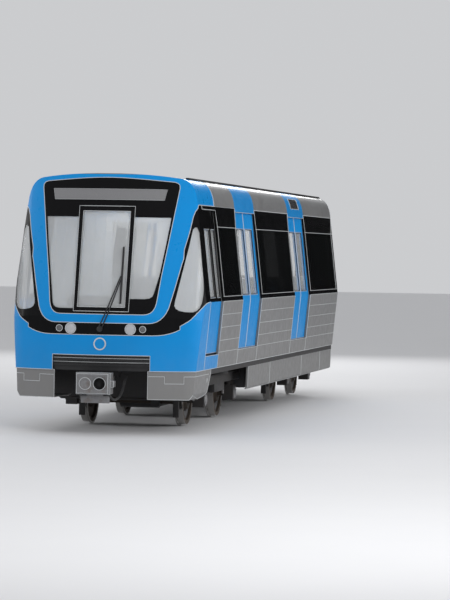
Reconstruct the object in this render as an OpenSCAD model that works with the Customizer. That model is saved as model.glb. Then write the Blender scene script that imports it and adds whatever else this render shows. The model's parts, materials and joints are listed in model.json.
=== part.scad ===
// Metro driving car: one body on two bogies, with sliding doors and a coupler.
// Lengths are in millimetres. X runs forward, Y to the left and Z up.
// Inside car() the nose is at X = 0 and Z = 0 is the top of the rail.

/* [Body] */
// Length of the body from the nose to the rear end
body_len = 14280; // [11900:10:17200]
// Widest width of the body, at the waist
body_w = 2904; // [2420:4:3500]
// Height of the foot of the side walls above the rail
foot_z = 905; // [880:5:960]
// Height of the waist above the rail
waist_z = 1916; // [1800:2:2000]
// Height of the top of the dark window band above the rail
band_z = 3357; // [3200:1:3600]
// Height of the crown of the roof above the rail
roof_z = 3802; // [3700:1:4100]
// How far the foot of a side lies inside the waist
foot_in = 92; // [60:1:140]
// How far the top of the window band lies inside the waist
band_in = 168; // [100:1:240]
// How far the roof gutter lies inside the waist
gutter_in = 402; // [340:1:460]
// Thickness of the outer skin of a side wall
skin_t = 30; // [20:1:36]
// Thickness of the roof
roof_t = 40; // [25:1:60]
// Height of the floor above the rail
floor_z = 1130; // [1060:5:1150]

/* [Nose] */
// Radius of the bow of the front, seen from above
bow_r = 2745; // [2400:5:3400]
// Radius of the two front corners, seen from above
corner_r = 450; // [350:5:520]
// How far the middle of the front lies behind the nose datum
nose_set = 50; // [20:5:100]
// Backward rake of the windscreen in degrees
rake = 12.5; // [8:0.5:14]
// Height above the rail where the rake starts
rake_z = 1710; // [1690:5:1715]
// Thickness of the front shell
shell_t = 45; // [25:1:60]
// Distance from the nose to the seam behind the front shell
seam_s = 1050; // [1000:5:1100]
// Distance from the nose to the rear edge of the front roof
brow_s = 2040; // [1600:10:2090]
// Half the width of the middle windscreen frame
frame_half = 419; // [380:1:440]
// Half the width of the grille opening
grille_half = 730; // [650:5:780]

/* [Doors] */
// Distance from the nose to the first passenger doorway
door_1_s = 3790; // [3780:10:3900]
// Distance between the two passenger doorways
door_pitch = 5230; // [4600:10:6270]
// Width of a passenger doorway
door_w = 1780; // [1500:10:1900]
// How far each passenger door leaf slides
door_travel = 800; // [600:10:800]
// Height of the top of a doorway above the rail
door_top = 3300; // [3250:5:3310]
// Thickness of a door leaf
leaf_t = 40; // [30:1:46]
// Distance from the nose to the rear edge of the cab doorway
cab_door_s = 2110; // [2095:5:2200]

/* [Windows] */
// Height of the window sills above the rail
sill_z = 1990; // [1960:5:2040]
// Height of the window heads above the rail
head_z = 3047; // [2900:1:3100]
// Thickness of the window glass
glass_t = 12; // [6:1:16]

/* [Running gear] */
// Radius of the wheel tread
wheel_r = 390; // [360:1:420]
// Depth of the wheel flange
flange_h = 28; // [24:1:34]
// Distance between the axles of a bogie
wheelbase = 2500; // [2350:10:2600]
// Distance between the inner edges of the rails
gauge = 1435; // [1400:1:1450]
// Distance from the nose to the pivot of the front bogie
front_pivot_s = 3880; // [3860:5:4000]
// Distance from the pivot of the rear bogie to the rear end
rear_pivot_in = 2430; // [2300:5:2500]
// Radius of the axle between the wheels
axle_r = 85; // [75:1:95]
// Radius of an axle journal
journal_r = 62; // [50:1:70]

/* [Couplers] */
// How far the front coupler reaches ahead of the nose
coupler_reach = 400; // [300:5:500]
// Height of the couplers above the rail
coupler_z = 735; // [700:5:760]
// Distance from the nose to the pivot of the front coupler
coupler_pivot_s = 620; // [560:10:700]
// Distance from the pivot of the rear drawbar to the rear end
drawbar_in = 400; // [380:10:440]
// Radius of the coupler pivot pins
pin_r = 45; // [35:1:60]
// How far the rear drawbar reaches behind the rear end
drawbar_reach = 470; // [430:5:560]

/* [Hidden] */
$fn = 48;

// Datum
half = body_w / 2;
nose_x = (body_len + drawbar_reach - coupler_reach) / 2;
rail_z = flange_h;

// Side wall layers, each measured inwards from the outer skin
pocket_in = 90;                    // outer face of the lining
lining_in = 110;                   // inner face of the lining
leaf_in = skin_t + (pocket_in - skin_t - leaf_t) / 2;
run_gap = 8;                       // running clearance of a door leaf
touch_gap = 0.3;                   // gap between a moving part and its seat

// Doorways and bays between them, measured back from the nose
door_2_s = door_1_s + door_pitch;
leaf_lap = 25;                     // how far a closed leaf reaches into its pocket
leaf_bottom = floor_z + 8;
leaf_top = door_top + 20;
header_z = door_top + 30;          // underside of the rail above the pockets
cab_sill_z = 1109;                 // foot of the cab doorway
end_wall_t = 80;
ceiling_z = 3180;
ceiling_t = 20;
end_s = body_len - end_wall_t;
doors = [door_1_s, door_2_s];
bays = [[cab_door_s, door_1_s], [door_1_s + door_w, door_2_s], [door_2_s + door_w, body_len]];
pane_edge = 60;                    // skin left at each end of a window
pocket_len = door_travel + leaf_lap + 35;
inner_windows = [[bays[1][0] + pocket_len, bays[1][1] - pocket_len],
                 [bays[2][0] + pocket_len, end_s - 200]];
surround_t = 20;

// Underframe
sole_z = 820;                      // underside of the sole bars
sole_in = 18;                      // set back of a sole bar from the foot
sole_w = 75;
slab_t = 90;
deck_front_s = 750;
deck_half = side_y(foot_z) - shell_t - 2;
beam_w = 150;
jack_s = [1925, body_len - 125];   // small pads under two of the cross beams
jack_y = [1080, 1200];
jack_h = 20;
skirt_front_s = 5000;
skirt_h = 370;
skirt_t = 30;
skirt_gap = 12;
skirt_joins = [7150, body_len - 3680, body_len - 1430];

// Gangway
gangway_half = 620;
gangway_top = 3130;
bellows_t = 110;

// Running gear
rear_pivot_s = body_len - rear_pivot_in;
wheel_w = 130;
wheel_in = gauge / 2 - 37;         // inner face of a wheel
journal_y = 1000;
beam_y = 1000;                     // side beam of a bogie
beam_half = 75;
beam_z = 590;
beam_top = 740;
transom_half = 300;
box_half = 120;                    // half the size of an axle box
journal_gap = 0.1;
frame_end = wheelbase / 2 + 550;
pivot_r = 90;
pivot_gap = 5;
air_spring_r = 230;

// ---------------------------------------------------------------- helpers

module car() { translate([nose_x, 0, rail_z]) children(); }

module both_sides() {
    children();
    mirror([0, 1, 0]) children();
}

// Extrudes an outline of (y, z) from s1 back to s2
module along(s1, s2) {
    translate([-s2, 0, 0]) rotate([90, 0, 90]) linear_extrude(s2 - s1) children();
}

// Extrudes a side outline of (s, z) from y1 to y2
module across(y1, y2) {
    translate([0, y2, 0]) rotate([90, 0, 0]) linear_extrude(y2 - y1) mirror([1, 0]) children();
}

// Box from the low to the high values of s, y and z
module block(s, y, z) {
    translate([-s[1], y[0], z[0]]) cube([s[1] - s[0], y[1] - y[0], z[1] - z[0]]);
}

// Points of a quadratic curve from a to c, pulled towards b
function bend(a, b, c, n, last = 1) =
    [for (i = [0:n]) let(t = last * i / n) (1 - t) * (1 - t) * a + 2 * t * (1 - t) * b + t * t * c];

function flip(points) = [for (i = [len(points) - 1:-1:0]) points[i]];

// Closes a right-hand outline with its mirror image
function mirrored(points) = concat(points, [for (p = flip(points)) [-p[0], p[1]]]);

// Moves an open outline inwards by t
function edge_normal(a, b) = let(d = b - a) [d[1], -d[0]] / norm(d);
function corner_normal(p, i) =
    let(n1 = edge_normal(p[max(i - 1, 0)], p[max(i - 1, 0) + 1]),
        k = min(i, len(p) - 2), n2 = edge_normal(p[k], p[k + 1]))
    (n1 + n2) / (1 + n1 * n2);
function inset(points, t) = [for (i = [0:len(points) - 1]) points[i] - t * corner_normal(points, i)];

// ---------------------------------------------------------------- body outline

// Half width of a side wall at a height above the rail
function side_y(z) = z < waist_z
    ? half - foot_in * (waist_z - z) / (waist_z - foot_z)
    : half - band_in * (z - waist_z) / (band_z - waist_z);

// Slice of a side wall between two heights and two depths from the outer skin
module wall(z1, z2, in1, in2) {
    levels = z1 < waist_z && z2 > waist_z ? [z1, waist_z, z2] : [z1, z2];
    polygon(concat([for (z = levels) [side_y(z) - in1, z]], [for (z = flip(levels)) [side_y(z) - in2, z]]));
}

gutter = [half - gutter_in, roof_z - 67];
roof_curve = concat(
    bend([half - band_in, band_z], [half - 192, band_z + 333], gutter, 7),
    [for (p = bend(gutter, [half - 852, roof_z], [0, roof_z], 5, 0.85)) if (p[0] < gutter[0]) p]);
side_curve = [[side_y(foot_z), foot_z], [half, waist_z]];
cross_curve = concat(side_curve, roof_curve);

// Whole cross-section of the body, moved inwards by t and lengthened down by drop
module cross_section(t, drop = 0) {
    points = inset(cross_curve, t);
    polygon(mirrored(concat([[points[0][0], foot_z - drop]], points)));
}

// Roof ring between two depths
module roof_ring(t1, t2) {
    function layer(t) = let(points = inset(roof_curve, t))
        mirrored(concat([[half - band_in - t, band_z]], [for (i = [1:len(points) - 1]) points[i]]));
    polygon(concat(layer(t1), flip(layer(t2))));
}

// ---------------------------------------------------------------- nose

plan_half = half + 8;
bow_s = nose_set + bow_r;
corner_s = bow_s - sqrt(pow(bow_r - corner_r, 2) - pow(plan_half - corner_r, 2));
bow_angle = asin((plan_half - corner_r) / (bow_r - corner_r));
nose_back = 3200;

// Outline of the nose seen from above, as (s, y), moved inwards by t. The bow
// has bow_steps facets over each half and a corner has corner_steps.
function plan_points(t, bow_steps, corner_steps) =
    let(bow = [for (i = [0:bow_steps]) let(a = bow_angle * i / bow_steps)
            [bow_s - (bow_r - t) * cos(a), (bow_r - t) * sin(a)]],
        corner = [for (i = [1:corner_steps]) let(a = bow_angle + (90 - bow_angle) * i / corner_steps)
            [corner_s - (corner_r - t) * cos(a), plan_half - corner_r + (corner_r - t) * sin(a)]],
        right = concat(bow, corner, [[nose_back, plan_half - t]]))
    concat(right, [for (p = flip(right)) if (p[1] > 0) [p[0], -p[1]]]);

module plan(t, bow_steps = 9, corner_steps = 10) {
    mirror([1, 0]) polygon(plan_points(t, bow_steps, corner_steps));
}

// Solid body of the nose, moved inwards by t: an upright and a raked prism.
// Their outlines have different steps, so that no two of their edges meet.
module nose_solid(t, drop = 0) {
    intersection() {
        along(-200, nose_back - 10) cross_section(t, drop);
        translate([0, 0, foot_z - 400]) linear_extrude(roof_z) plan(t, 9, 10);
        translate([-nose_set, 0, rake_z]) rotate([0, -rake, 0])
            translate([nose_set, 0, -1600]) linear_extrude(4200) plan(t, 8, 9);
    }
}

// Shell of the nose between two depths
module nose_skin(t1, t2) {
    difference() {
        nose_solid(t1);
        nose_solid(t2, 200);
    }
}

// Flanks of the nose start at this distance from the middle
corner_y = half - 312;
corner_z = 2560;

// Lower edge of the blue pillars, seen from the front and then from the side
pillar_front = concat(
    bend([half - 760, 1603], [half - 555, 1603], [half - 478, 1830], 6),
    [[half - 404, 2143], [half - 335, 2470], [corner_y, corner_z]]);
pillar_side = concat([[480, corner_z], [586, 2882]],
    bend([680, 3180], [735, band_z], [860, band_z], 4), [[seam_s, band_z]]);
// Lower edge of the black lamp band, seen from the front and then from the side
band_front = bend([half - 692, 1428], [half - 472, 1428], [corner_y, 1520], 5);
band_side = concat(bend([200, 1420], [420, 1800], [700, 1900], 7), [[seam_s, 1934]]);
// Windscreen, seen from the front
screen_outline = mirrored(concat(
    bend([half - 830, 1730], [half - 680, 1730], [half - 652, 1900], 5),
    [[half - 602, 2315], [half - 538, 2750]],
    bend([half - 420, 3590], [half - 410, 3672], [half - 500, 3682], 3),
    bend([half - 830, 3709], [half - 1200, 3740], [0, 3740], 4, 0.9)));
// Quarter light, seen from the side
quarter_outline = concat([[655, 3010], [640, 2988], [318, 1940]],
    bend([300, 1870], [280, 1770], [400, 1776], 4), bend([430, 1778], [600, 1830], [660, 2110], 5),
    [[702, 2700], [706, 2950], [692, 3018], [675, 3026]]);

// Everything of the nose below the pillars (black and lower blue)
module below_pillars() { below(pillar_front, pillar_side); }
module below_band() { below(band_front, band_side); }
module below(front, side) {
    along(-100, 900) intersection() {
        polygon(mirrored(concat([[corner_y, foot_z - 300]], flip(front))));
        translate([-corner_y, 0]) square([2 * corner_y, 4000]);
    }
    both_sides() across(corner_y, half + 200)
        polygon(concat([[-100, foot_z - 300], [-100, side[0][1]]], side, [[seam_s, foot_z - 300]]));
}

module screen_hole() { along(-100, 1500) polygon(screen_outline); }

// ---------------------------------------------------------------- body shell

module underframe() {
    car() color([0.05, 0.05, 0.055]) {
        block([deck_front_s, end_s], deck_half * [-1, 1], [floor_z - slab_t, floor_z]);
        block([310, deck_front_s], [-1000, 1000], [floor_z - slab_t, floor_z]);
        both_sides() block([bumper_back + 5, body_len],
                           [side_y(foot_z) - sole_in - sole_w, side_y(foot_z) - sole_in], [sole_z, foot_z]);
        both_sides() block([seam_s + 10, body_len], [deck_half - 200, deck_half],
                           [foot_z, floor_z - slab_t]);
        both_sides() block([500, body_len], [300, 420], [foot_z, floor_z - slab_t]);
        both_sides() for (s = jack_s)
            block([s - 60, s + 60], jack_y, [sole_z - jack_h, sole_z + 1]);
        for (s = [1850, skirt_front_s + 100, body_len - 3650, body_len - 200]) {
            block([s, s + beam_w], (side_y(foot_z) - sole_in - 5) * [-1, 1], [sole_z, foot_z]);
            block([s, s + beam_w], deck_half * [-1, 1], [foot_z - 1, floor_z - slab_t]);
        }
        for (s = [front_pivot_s, rear_pivot_s]) {
            block([s - 280, s + 280], (side_y(foot_z) - 120) * [-1, 1], [foot_z, floor_z - slab_t]);
            translate([-s, 0, beam_z - 20]) cylinder(r = pivot_r, h = foot_z - beam_z + 40);
        }
        for (s = [coupler_pivot_s, body_len - drawbar_in]) {
            block([s - 100, s + 100], [-180, 180], [coupler_z + 80, floor_z - slab_t]);
            translate([-s, 0, coupler_z - 100]) cylinder(r = pin_r, h = 220);
        }
    }
}

module side_panels() {
    car() color([0.47, 0.47, 0.47]) both_sides() {
        for (bay = bays) along(bay[0], bay[1]) wall(foot_z, waist_z, 0, skin_t);
        for (s = doors) along(s - 1, s + door_w + 1) wall(foot_z, floor_z, 0, skin_t);
    }
}

module window_opening(bay) {
    back = min(bay[1] - pane_edge, body_len - 150);
    along(bay[0] + pane_edge, back) wall(sill_z, head_z, -50, 80);
}

module window_bands() {
    car() color([0.01, 0.01, 0.01]) both_sides() {
        for (bay = bays) difference() {
            along(bay[0], bay[1]) wall(waist_z, band_z, 0, skin_t);
            window_opening(bay);
        }
        along(seam_s, bays[0][0] + 1) wall(door_top, band_z, 0, skin_t);
    }
}

module window_glass() {
    car() color([0.05, 0.06, 0.07, 0.6]) both_sides() for (bay = bays)
        intersection() {
            along(bay[0], bay[1]) wall(sill_z, head_z, 3, 3 + glass_t);
            window_opening(bay);
        }
}

module wall_linings() {
    starts = [bays[0][0] + 10, bays[1][0] + 30, bays[2][0] + 30];
    ends = [bays[0][1] - 30, bays[1][1] - 30, end_s];
    car() color([0.82, 0.83, 0.82]) both_sides() for (i = [0:2]) difference() {
        union() {
            along(starts[i], ends[i]) wall(floor_z, header_z, pocket_in, lining_in);
            if (i > 0) along(inner_windows[i - 1][0], inner_windows[i - 1][1])
                wall(sill_z - surround_t, head_z + surround_t, skin_t, pocket_in + 1);
        }
        if (i > 0) along(inner_windows[i - 1][0] + surround_t, inner_windows[i - 1][1] - surround_t)
            wall(sill_z, head_z, 0, lining_in + 10);
    }
}

module ceiling() {
    car() color([0.85, 0.86, 0.86])
        block([partition_s + partition_t, end_s], (side_y(ceiling_z + ceiling_t) - lining_in) * [-1, 1],
              [ceiling_z, ceiling_z + ceiling_t]);
}

module vent_hole(s) {
    along(s, s + 900) polygon([[half - 150, band_z + 95], [half - 150, band_z + 270],
        [half - 420, band_z + 270], [half - 420, band_z + 95]]);
}

module roof() {
    car() color([0.47, 0.47, 0.47]) {
        difference() {
            along(brow_s, body_len) roof_ring(0, roof_t);
            both_sides() vent_hole(door_2_s + (door_w - 900) / 2);
        }
        both_sides() {
            along(door_1_s, door_1_s + door_w) wall(door_top, band_z, 0, skin_t);
            along(door_2_s, door_2_s + door_w) wall(door_top, band_z, 0, skin_t);
            along(seam_s + run_gap, end_s) wall(header_z, band_z, skin_t + touch_gap, lining_in);
        }
    }
}

module roof_gutters() {
    lip = 45;
    car() color([0.01, 0.01, 0.01]) both_sides()
        along(seam_s + 120, body_len) difference() {
            translate(gutter - [34, 6]) square([lip, 34]);
            cross_section(0);
        }
}

module roof_vents() {
    car() color([0.01, 0.01, 0.01]) both_sides() intersection() {
        along(0, body_len) roof_ring(6, roof_t);
        vent_hole(door_2_s + (door_w - 900) / 2);
    }
}

module rear_end_wall() {
    car() color([0.03, 0.03, 0.03]) along(end_s, body_len) difference() {
        intersection() {
            cross_section(skin_t + 4);
            translate([-half, floor_z - slab_t]) square([body_w, roof_z]);
            polygon(mirrored(concat([[half, foot_z]], [[half, band_z - 1]],
                inset(roof_curve, roof_t + 4))));
        }
        translate([-gangway_half, floor_z]) square([2 * gangway_half, gangway_top - floor_z]);
    }
}

// Plain ring round the outer shape of the folds
module gangway_bellows() {
    ring_half = gangway_half + bellows_t;
    car() color([0.03, 0.03, 0.03]) along(body_len, body_len + drawbar_reach - 40) difference() {
        translate([-ring_half, floor_z - slab_t])
            square([2 * ring_half, gangway_top - floor_z + slab_t + bellows_t]);
        translate([-gangway_half, floor_z]) square([2 * gangway_half, gangway_top - floor_z]);
    }
}

// ---------------------------------------------------------------- cab

module cab_shell() {
    car() color([0, 0.576, 0.831]) difference() {
        intersection() {
            nose_skin(0, shell_t);
            union() {
                block([-50, seam_s], half * [-1.2, 1.2], [foot_z, roof_z + 50]);
                block([0, brow_s], half * [-1.2, 1.2], [band_z, roof_z + 50]);
            }
        }
        below_pillars();
        screen_hole();
    }
}

module front_apron() {
    car() color([0, 0.576, 0.831]) {
        difference() {
            intersection() {
                nose_skin(0, shell_t);
                below_band();
                block([-50, seam_s], half * [-1.2, 1.2], [foot_z, 2100]);
            }
            block([-50, 500], grille_half * [-1, 1], [foot_z - 10, foot_z + 226]);
        }
        both_sides() along(seam_s - 1, cab_door_s - touch_gap) wall(foot_z, cab_sill_z, 0, skin_t);
    }
}

big_lamp_r = 82;
small_lamp_r = 50;
lamp_z = 1517;
lamps = [[447, big_lamp_r], [624, small_lamp_r]];

module lamp_band() {
    car() color([0.01, 0.01, 0.01]) difference() {
        intersection() {
            nose_skin(0, shell_t);
            below_pillars();
        }
        below_band();
        both_sides() {
            for (lamp = lamps) translate([0, lamp[0], lamp_z]) rotate([0, -90, 0])
                cylinder(r = lamp[1] + 0.5, h = 400);
            across(corner_y - 200, half + 100) polygon(quarter_outline);
        }
    }
}

module headlamps() {
    car() color([0.8, 0.82, 0.84]) both_sides() for (lamp = lamps)
        translate([-180, lamp[0], lamp_z]) rotate([0, 90, 0])
            cylinder(r = lamp[1], h = lamp[1] > 60 ? 108 : 76);
}

// Panes, seen from the front
frame_z = [1772, 3316];
middle_pane = [[-355, 1835], [355, 1835], [355, 3241], [-355, 3241]];
function side_pane(bottom) = concat(
    [[frame_half - 20, bottom]],
    bend([half - 820, bottom], [half - 705, bottom], [half - 695, bottom + 90], 3),
    [[half - 632, 2315], [half - 560, 2800], [half - 515, 3155], [frame_half - 20, 3155]]);
display_outline = mirrored([[828, 3410], [862, 3572]]);

module screen_openings() {
    polygon(middle_pane);
    polygon(side_pane(1960));
    mirror([1, 0]) polygon(side_pane(1810));
    polygon(display_outline);
}

module windscreen_surround() {
    car() color([0.01, 0.01, 0.01]) intersection() {
        nose_skin(0, shell_t);
        difference() {
            screen_hole();
            along(-100, 1500) screen_openings();
        }
        block([-50, brow_s], half * [-1.2, 1.2], [foot_z, roof_z + 50]);
    }
}

module cab_glass() {
    car() color([0.7, 0.75, 0.78, 0.4]) {
        intersection() {
            nose_skin(8, 8 + glass_t);
            along(-100, 1500) difference() {
                screen_openings();
                polygon(display_outline);
            }
        }
        intersection() {
            nose_skin(6, 6 + glass_t);
            both_sides() across(corner_y - 200, half + 100) polygon(quarter_outline);
            below_pillars();
            block([0, seam_s], half * [-1.2, 1.2], [1500, 3300]);
        }
    }
}

module emergency_frame() {
    car() color([0.02, 0.02, 0.02]) intersection() {
        nose_skin(-14, 0);
        along(-100, 1500) difference() {
            polygon(mirrored([[frame_half - 6, frame_z[0]], [frame_half, frame_z[1]]]));
            polygon(middle_pane);
        }
    }
}

module destination_display() {
    car() color([0.45, 0.45, 0.45]) intersection() {
        nose_skin(5, 30);
        along(-100, 1500) polygon(display_outline);
        block([0, brow_s], half * [-1.2, 1.2], [foot_z, roof_z]);
    }
}

module front_grille() {
    slat = 22;
    car() color([0.01, 0.01, 0.01]) {
        intersection() {
            nose_skin(30, shell_t);
            block([-50, 500], grille_half * [-1, 1], [foot_z, foot_z + 226]);
        }
        for (z = [foot_z + 68, foot_z + 142]) intersection() {
            nose_skin(6, 31);
            block([-50, 500], grille_half * [-1, 1], [z, z + slat]);
        }
    }
}

bumper_inner = 700;
bumper_back = 1690;
bumper_drop = 430;
bumper_t = 40;

// Solid body of the bumpers, moved inwards by t
module bumper_solid(t) {
    foot = side_y(foot_z);
    intersection() {
        along(-200, 2500) translate([0, foot_z - bumper_drop]) polygon(mirrored(inset(
            [[foot - 95, 0], [foot - 32, 90], [foot - 12, bumper_drop + 1]], t)));
        linear_extrude(foot_z) plan(10 + t);
    }
}

module front_bumpers() {
    low_z = foot_z - bumper_drop;
    car() color([0.47, 0.47, 0.47]) difference() {
        intersection() {
            bumper_solid(0);
            across(-half, half) polygon([[-100, low_z + 28], [1060, low_z + 1],
                [1450, low_z + 40], [bumper_back, foot_z - 80], [bumper_back, foot_z], [-100, foot_z]]);
        }
        bumper_solid(bumper_t);
        block([-200, nose_back], bumper_inner * [-1, 1], [0, roof_z]);
    }
}

// Round rod from point a to point b
module rod(a, b, r) {
    d = b - a;
    translate(a) rotate([0, acos(d[2] / norm(d)), atan2(d[1], d[0])]) cylinder(r = r, h = norm(d), $fn = 24);
}

arm_off = 30;                      // from the front surface to a wiper arm

// Point at offset off before the front surface, at height z
function screen_x(y, z, off) =
    -(bow_s - sqrt(bow_r * bow_r - y * y)) - max(0, z - rake_z) * tan(rake) + off;

module wiper() {
    car() color([0.02, 0.02, 0.02]) {
        translate([-nose_set, 0, 1515]) rotate([0, 90, 0]) cylinder(r = 42, h = 44);
        for (y = [-26, 26]) {
            foot = [screen_x(0, 1515, arm_off), y, 1515];
            knee = [screen_x(85, rake_z + 10, arm_off), 90 + y * 0.8, rake_z + 10];
            tip = [screen_x(272, 2290, arm_off), 285 + y * 0.4, 2290];
            rod(foot, knee, 9);
            translate(knee) sphere(r = 10, $fn = 24);
            rod(knee, tip, 9);
        }
        rod([screen_x(290, 1890, arm_off - 6), 290, 1890],
            [screen_x(290, 2718, arm_off - 6), 290, 2718], 14);
    }
}

module cab_desk() {
    car() color([0.12, 0.13, 0.14]) {
        block([430, 900], [-900, 900], [floor_z + 620, floor_z + 700]);
        block([430, 700], [-860, -560], [floor_z, floor_z + 620]);
        block([430, 700], [560, 860], [floor_z, floor_z + 620]);
        block([430, 520], [-560, 560], [floor_z, floor_z + 620]);
        across(-600, 600) translate([0, floor_z])
            polygon([[430, 699], [640, 699], [560, 860], [470, 860]]);
    }
}

module driver_seat() {
    car() color([0.1, 0.11, 0.13]) translate([-1450, 0, floor_z]) {
        cylinder(r = 210, h = 30);
        cylinder(r = 60, h = 330);
        translate([-230, -240, 330]) cube([480, 480, 120]);
        translate([-330, -230, 380]) rotate([0, -8, 0]) cube([110, 460, 640]);
        translate([-412, -130, 980]) rotate([0, -8, 0]) cube([90, 260, 220]);
    }
}

partition_s = 2300;
partition_t = 50;

module cab_partition() {
    edge = [for (z = [floor_z, waist_z, 3330]) [side_y(z) - lining_in - 1, z]];
    car() color([0.75, 0.76, 0.76]) along(partition_s, partition_s + partition_t) difference() {
        polygon(mirrored(edge));
        translate([-350, floor_z + 20]) square([700, 1950]);
    }
}

// ---------------------------------------------------------------- saloon

seat_w = 960;
seat_depth = 450;
seat_rows = concat([[partition_s + partition_t + 60, 1]],
    [for (bay = [[bays[1][0] + 140, bays[1][1] - 140], [bays[2][0] + 140, end_s - 40]])
        let(mid = (bay[0] + bay[1]) / 2)
        each [[bay[0], 1], [mid - 10, -1], [mid + 10, 1], [bay[1], -1]]]);

// One double seat, its back at s = 0, facing backwards
module double_seat(y) {
    translate([0, y, floor_z]) {
        translate([-seat_depth, 0, 400]) cube([seat_depth, seat_w, 70]);
        translate([-80, 0, 469]) cube([78, seat_w, 620]);
        translate([-seat_depth + 60, seat_w / 2 - 60, 0]) cube([280, 120, 401]);
    }
}

module passenger_seats() {
    car() color([0.05, 0.2, 0.4]) both_sides() for (row = seat_rows)
        translate([-row[0], 0, 0]) mirror([row[1] < 0 ? 1 : 0, 0, 0])
            double_seat(side_y(floor_z) - lining_in - seat_w - 8);
}

pole_r = 17;
pole_y = 420;
pole_off = 60;                     // from a doorway to its poles
rail_height = 2960;

rail_in = pole_r + touch_gap;       // the level rail ends at the faces of its posts

module grab_poles() {
    car() color([0.75, 0.75, 0.76]) both_sides() {
        for (s = doors) for (post = [-pole_off, door_w + pole_off])
            translate([-(s + post), pole_y, floor_z]) cylinder(r = pole_r, h = ceiling_z - floor_z);
        translate([pole_off + rail_in - door_2_s, pole_y, rail_height]) rotate([0, 90, 0])
            cylinder(r = pole_r, h = door_pitch - door_w - 2 * (pole_off + rail_in));
    }
}

// ---------------------------------------------------------------- outside trim

module side_skirts() {
    ends = concat([skirt_front_s], skirt_joins, [body_len]);
    top_y = side_y(foot_z) - sole_in - 5;
    car() color([0.47, 0.47, 0.47]) both_sides() for (i = [0:len(ends) - 2])
        along(ends[i] + skirt_gap / 2, ends[i + 1] - skirt_gap / 2)
            polygon([[top_y, sole_z], [top_y - 8, sole_z - skirt_h + 30], [top_y - 34, sole_z - skirt_h],
                [top_y - 34 - skirt_t, sole_z - skirt_h], [top_y - 8 - skirt_t, sole_z - skirt_h + 30],
                [top_y - skirt_t, sole_z]]);
}

case_gap = 100;
case_z = 430;

// Cases fill the length between the two bogies
module equipment_cases() {
    start = front_pivot_s + frame_end + 220;
    end = rear_pivot_s - frame_end - 220;
    count = 3;
    length = (end - start + case_gap) / count - case_gap;
    car() color([0.04, 0.04, 0.045]) both_sides() for (i = [0:count - 1])
        block([0, length] + (start + i * (length + case_gap)) * [1, 1], [150, 1130], [case_z, foot_z]);
}

// ---------------------------------------------------------------- doors

// Pair of leaves: the window lies next to the meeting edge
leaf_window = [70, 700];
seal_gap = 3;

// Leaf of the left side that closes towards the rear (dir = 1) or the front (dir = -1)
module leaf(mid_s, dir) {
    far = door_w / 2 + leaf_lap;
    module span(a, b, z1, z2, in1, in2) {
        along(mid_s + (dir > 0 ? a : -b), mid_s + (dir > 0 ? b : -a)) wall(z1, z2, in1, in2);
    }
    difference() {
        span(seal_gap, far, leaf_bottom, leaf_top, leaf_in, leaf_in + leaf_t);
        span(leaf_window[0], leaf_window[1], sill_z, head_z - 10, leaf_in - 10, leaf_in + leaf_t + 10);
    }
    for (a = [60, far - 160])
        span(a, a + 100, leaf_top - 1, header_z - touch_gap, leaf_in + 10, leaf_in + 30);
    span(leaf_window[0] + 0.5, leaf_window[1] - 0.5, sill_z + 0.5, head_z - 10.5,
        leaf_in + 12, leaf_in + 12 + glass_t);
}

module door_leaf(door, dir, side) {
    car() color([0, 0.576, 0.831]) mirror([0, side < 0 ? 1 : 0, 0]) leaf(doors[door] + door_w / 2, dir);
}

module left_door_1_front() { door_leaf(0, -1, 1); }
module left_door_1_rear() { door_leaf(0, 1, 1); }
module left_door_2_front() { door_leaf(1, -1, 1); }
module left_door_2_rear() { door_leaf(1, 1, 1); }
module right_door_1_front() { door_leaf(0, -1, -1); }
module right_door_1_rear() { door_leaf(0, 1, -1); }
module right_door_2_front() { door_leaf(1, -1, -1); }
module right_door_2_rear() { door_leaf(1, 1, -1); }

cab_windows = [[seam_s + 110, 1635], [1830, 2040]];

module cab_door(side) {
    car() color([0, 0.576, 0.831]) mirror([0, side < 0 ? 1 : 0, 0]) {
        difference() {
            along(seam_s + run_gap, cab_door_s + leaf_lap)
                wall(cab_sill_z + 30, leaf_top, leaf_in, leaf_in + leaf_t);
            for (w = cab_windows) along(w[0], w[1]) wall(sill_z - 10, 3000, 0, 120);
        }
        for (s = [seam_s + 80, cab_door_s - 150]) along(s, s + 100)
            wall(leaf_top - 1, header_z - touch_gap, leaf_in + 10, leaf_in + 30);
        for (w = cab_windows) along(w[0] + 0.5, w[1] - 0.5)
            wall(sill_z - 9.5, 2999.5, leaf_in + 12, leaf_in + 12 + glass_t);
    }
}

module left_cab_door() { cab_door(1); }
module right_cab_door() { cab_door(-1); }

// ---------------------------------------------------------------- running gear

module bogie_frame(pivot_s) {
    beam_h = beam_top - beam_z;
    beam_in = beam_y - beam_half;
    car() color([0.05, 0.05, 0.05]) translate([-pivot_s, 0, 0]) difference() {
        union() {
            both_sides() {
                translate([-frame_end, beam_in, beam_z]) cube([2 * frame_end, 2 * beam_half, beam_h]);
                translate([-420, beam_in, beam_z - 130]) cube([840, 2 * beam_half, 131]);
            }
            translate([-transom_half, -beam_y, beam_z - 60])
                cube([2 * transom_half, 2 * beam_y, beam_h + 40]);
            for (x = [-1, 1] * (frame_end - 40)) {
                translate([x - 40, -beam_y, beam_z + 10]) cube([80, 2 * beam_y, 110]);
                both_sides() translate([x - 30, 690, 130]) cube([60, 90, beam_z - 100]);
            }
        }
        translate([0, 0, beam_z - 200]) cylinder(r = pivot_r + pivot_gap, h = 600);
    }
}

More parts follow.
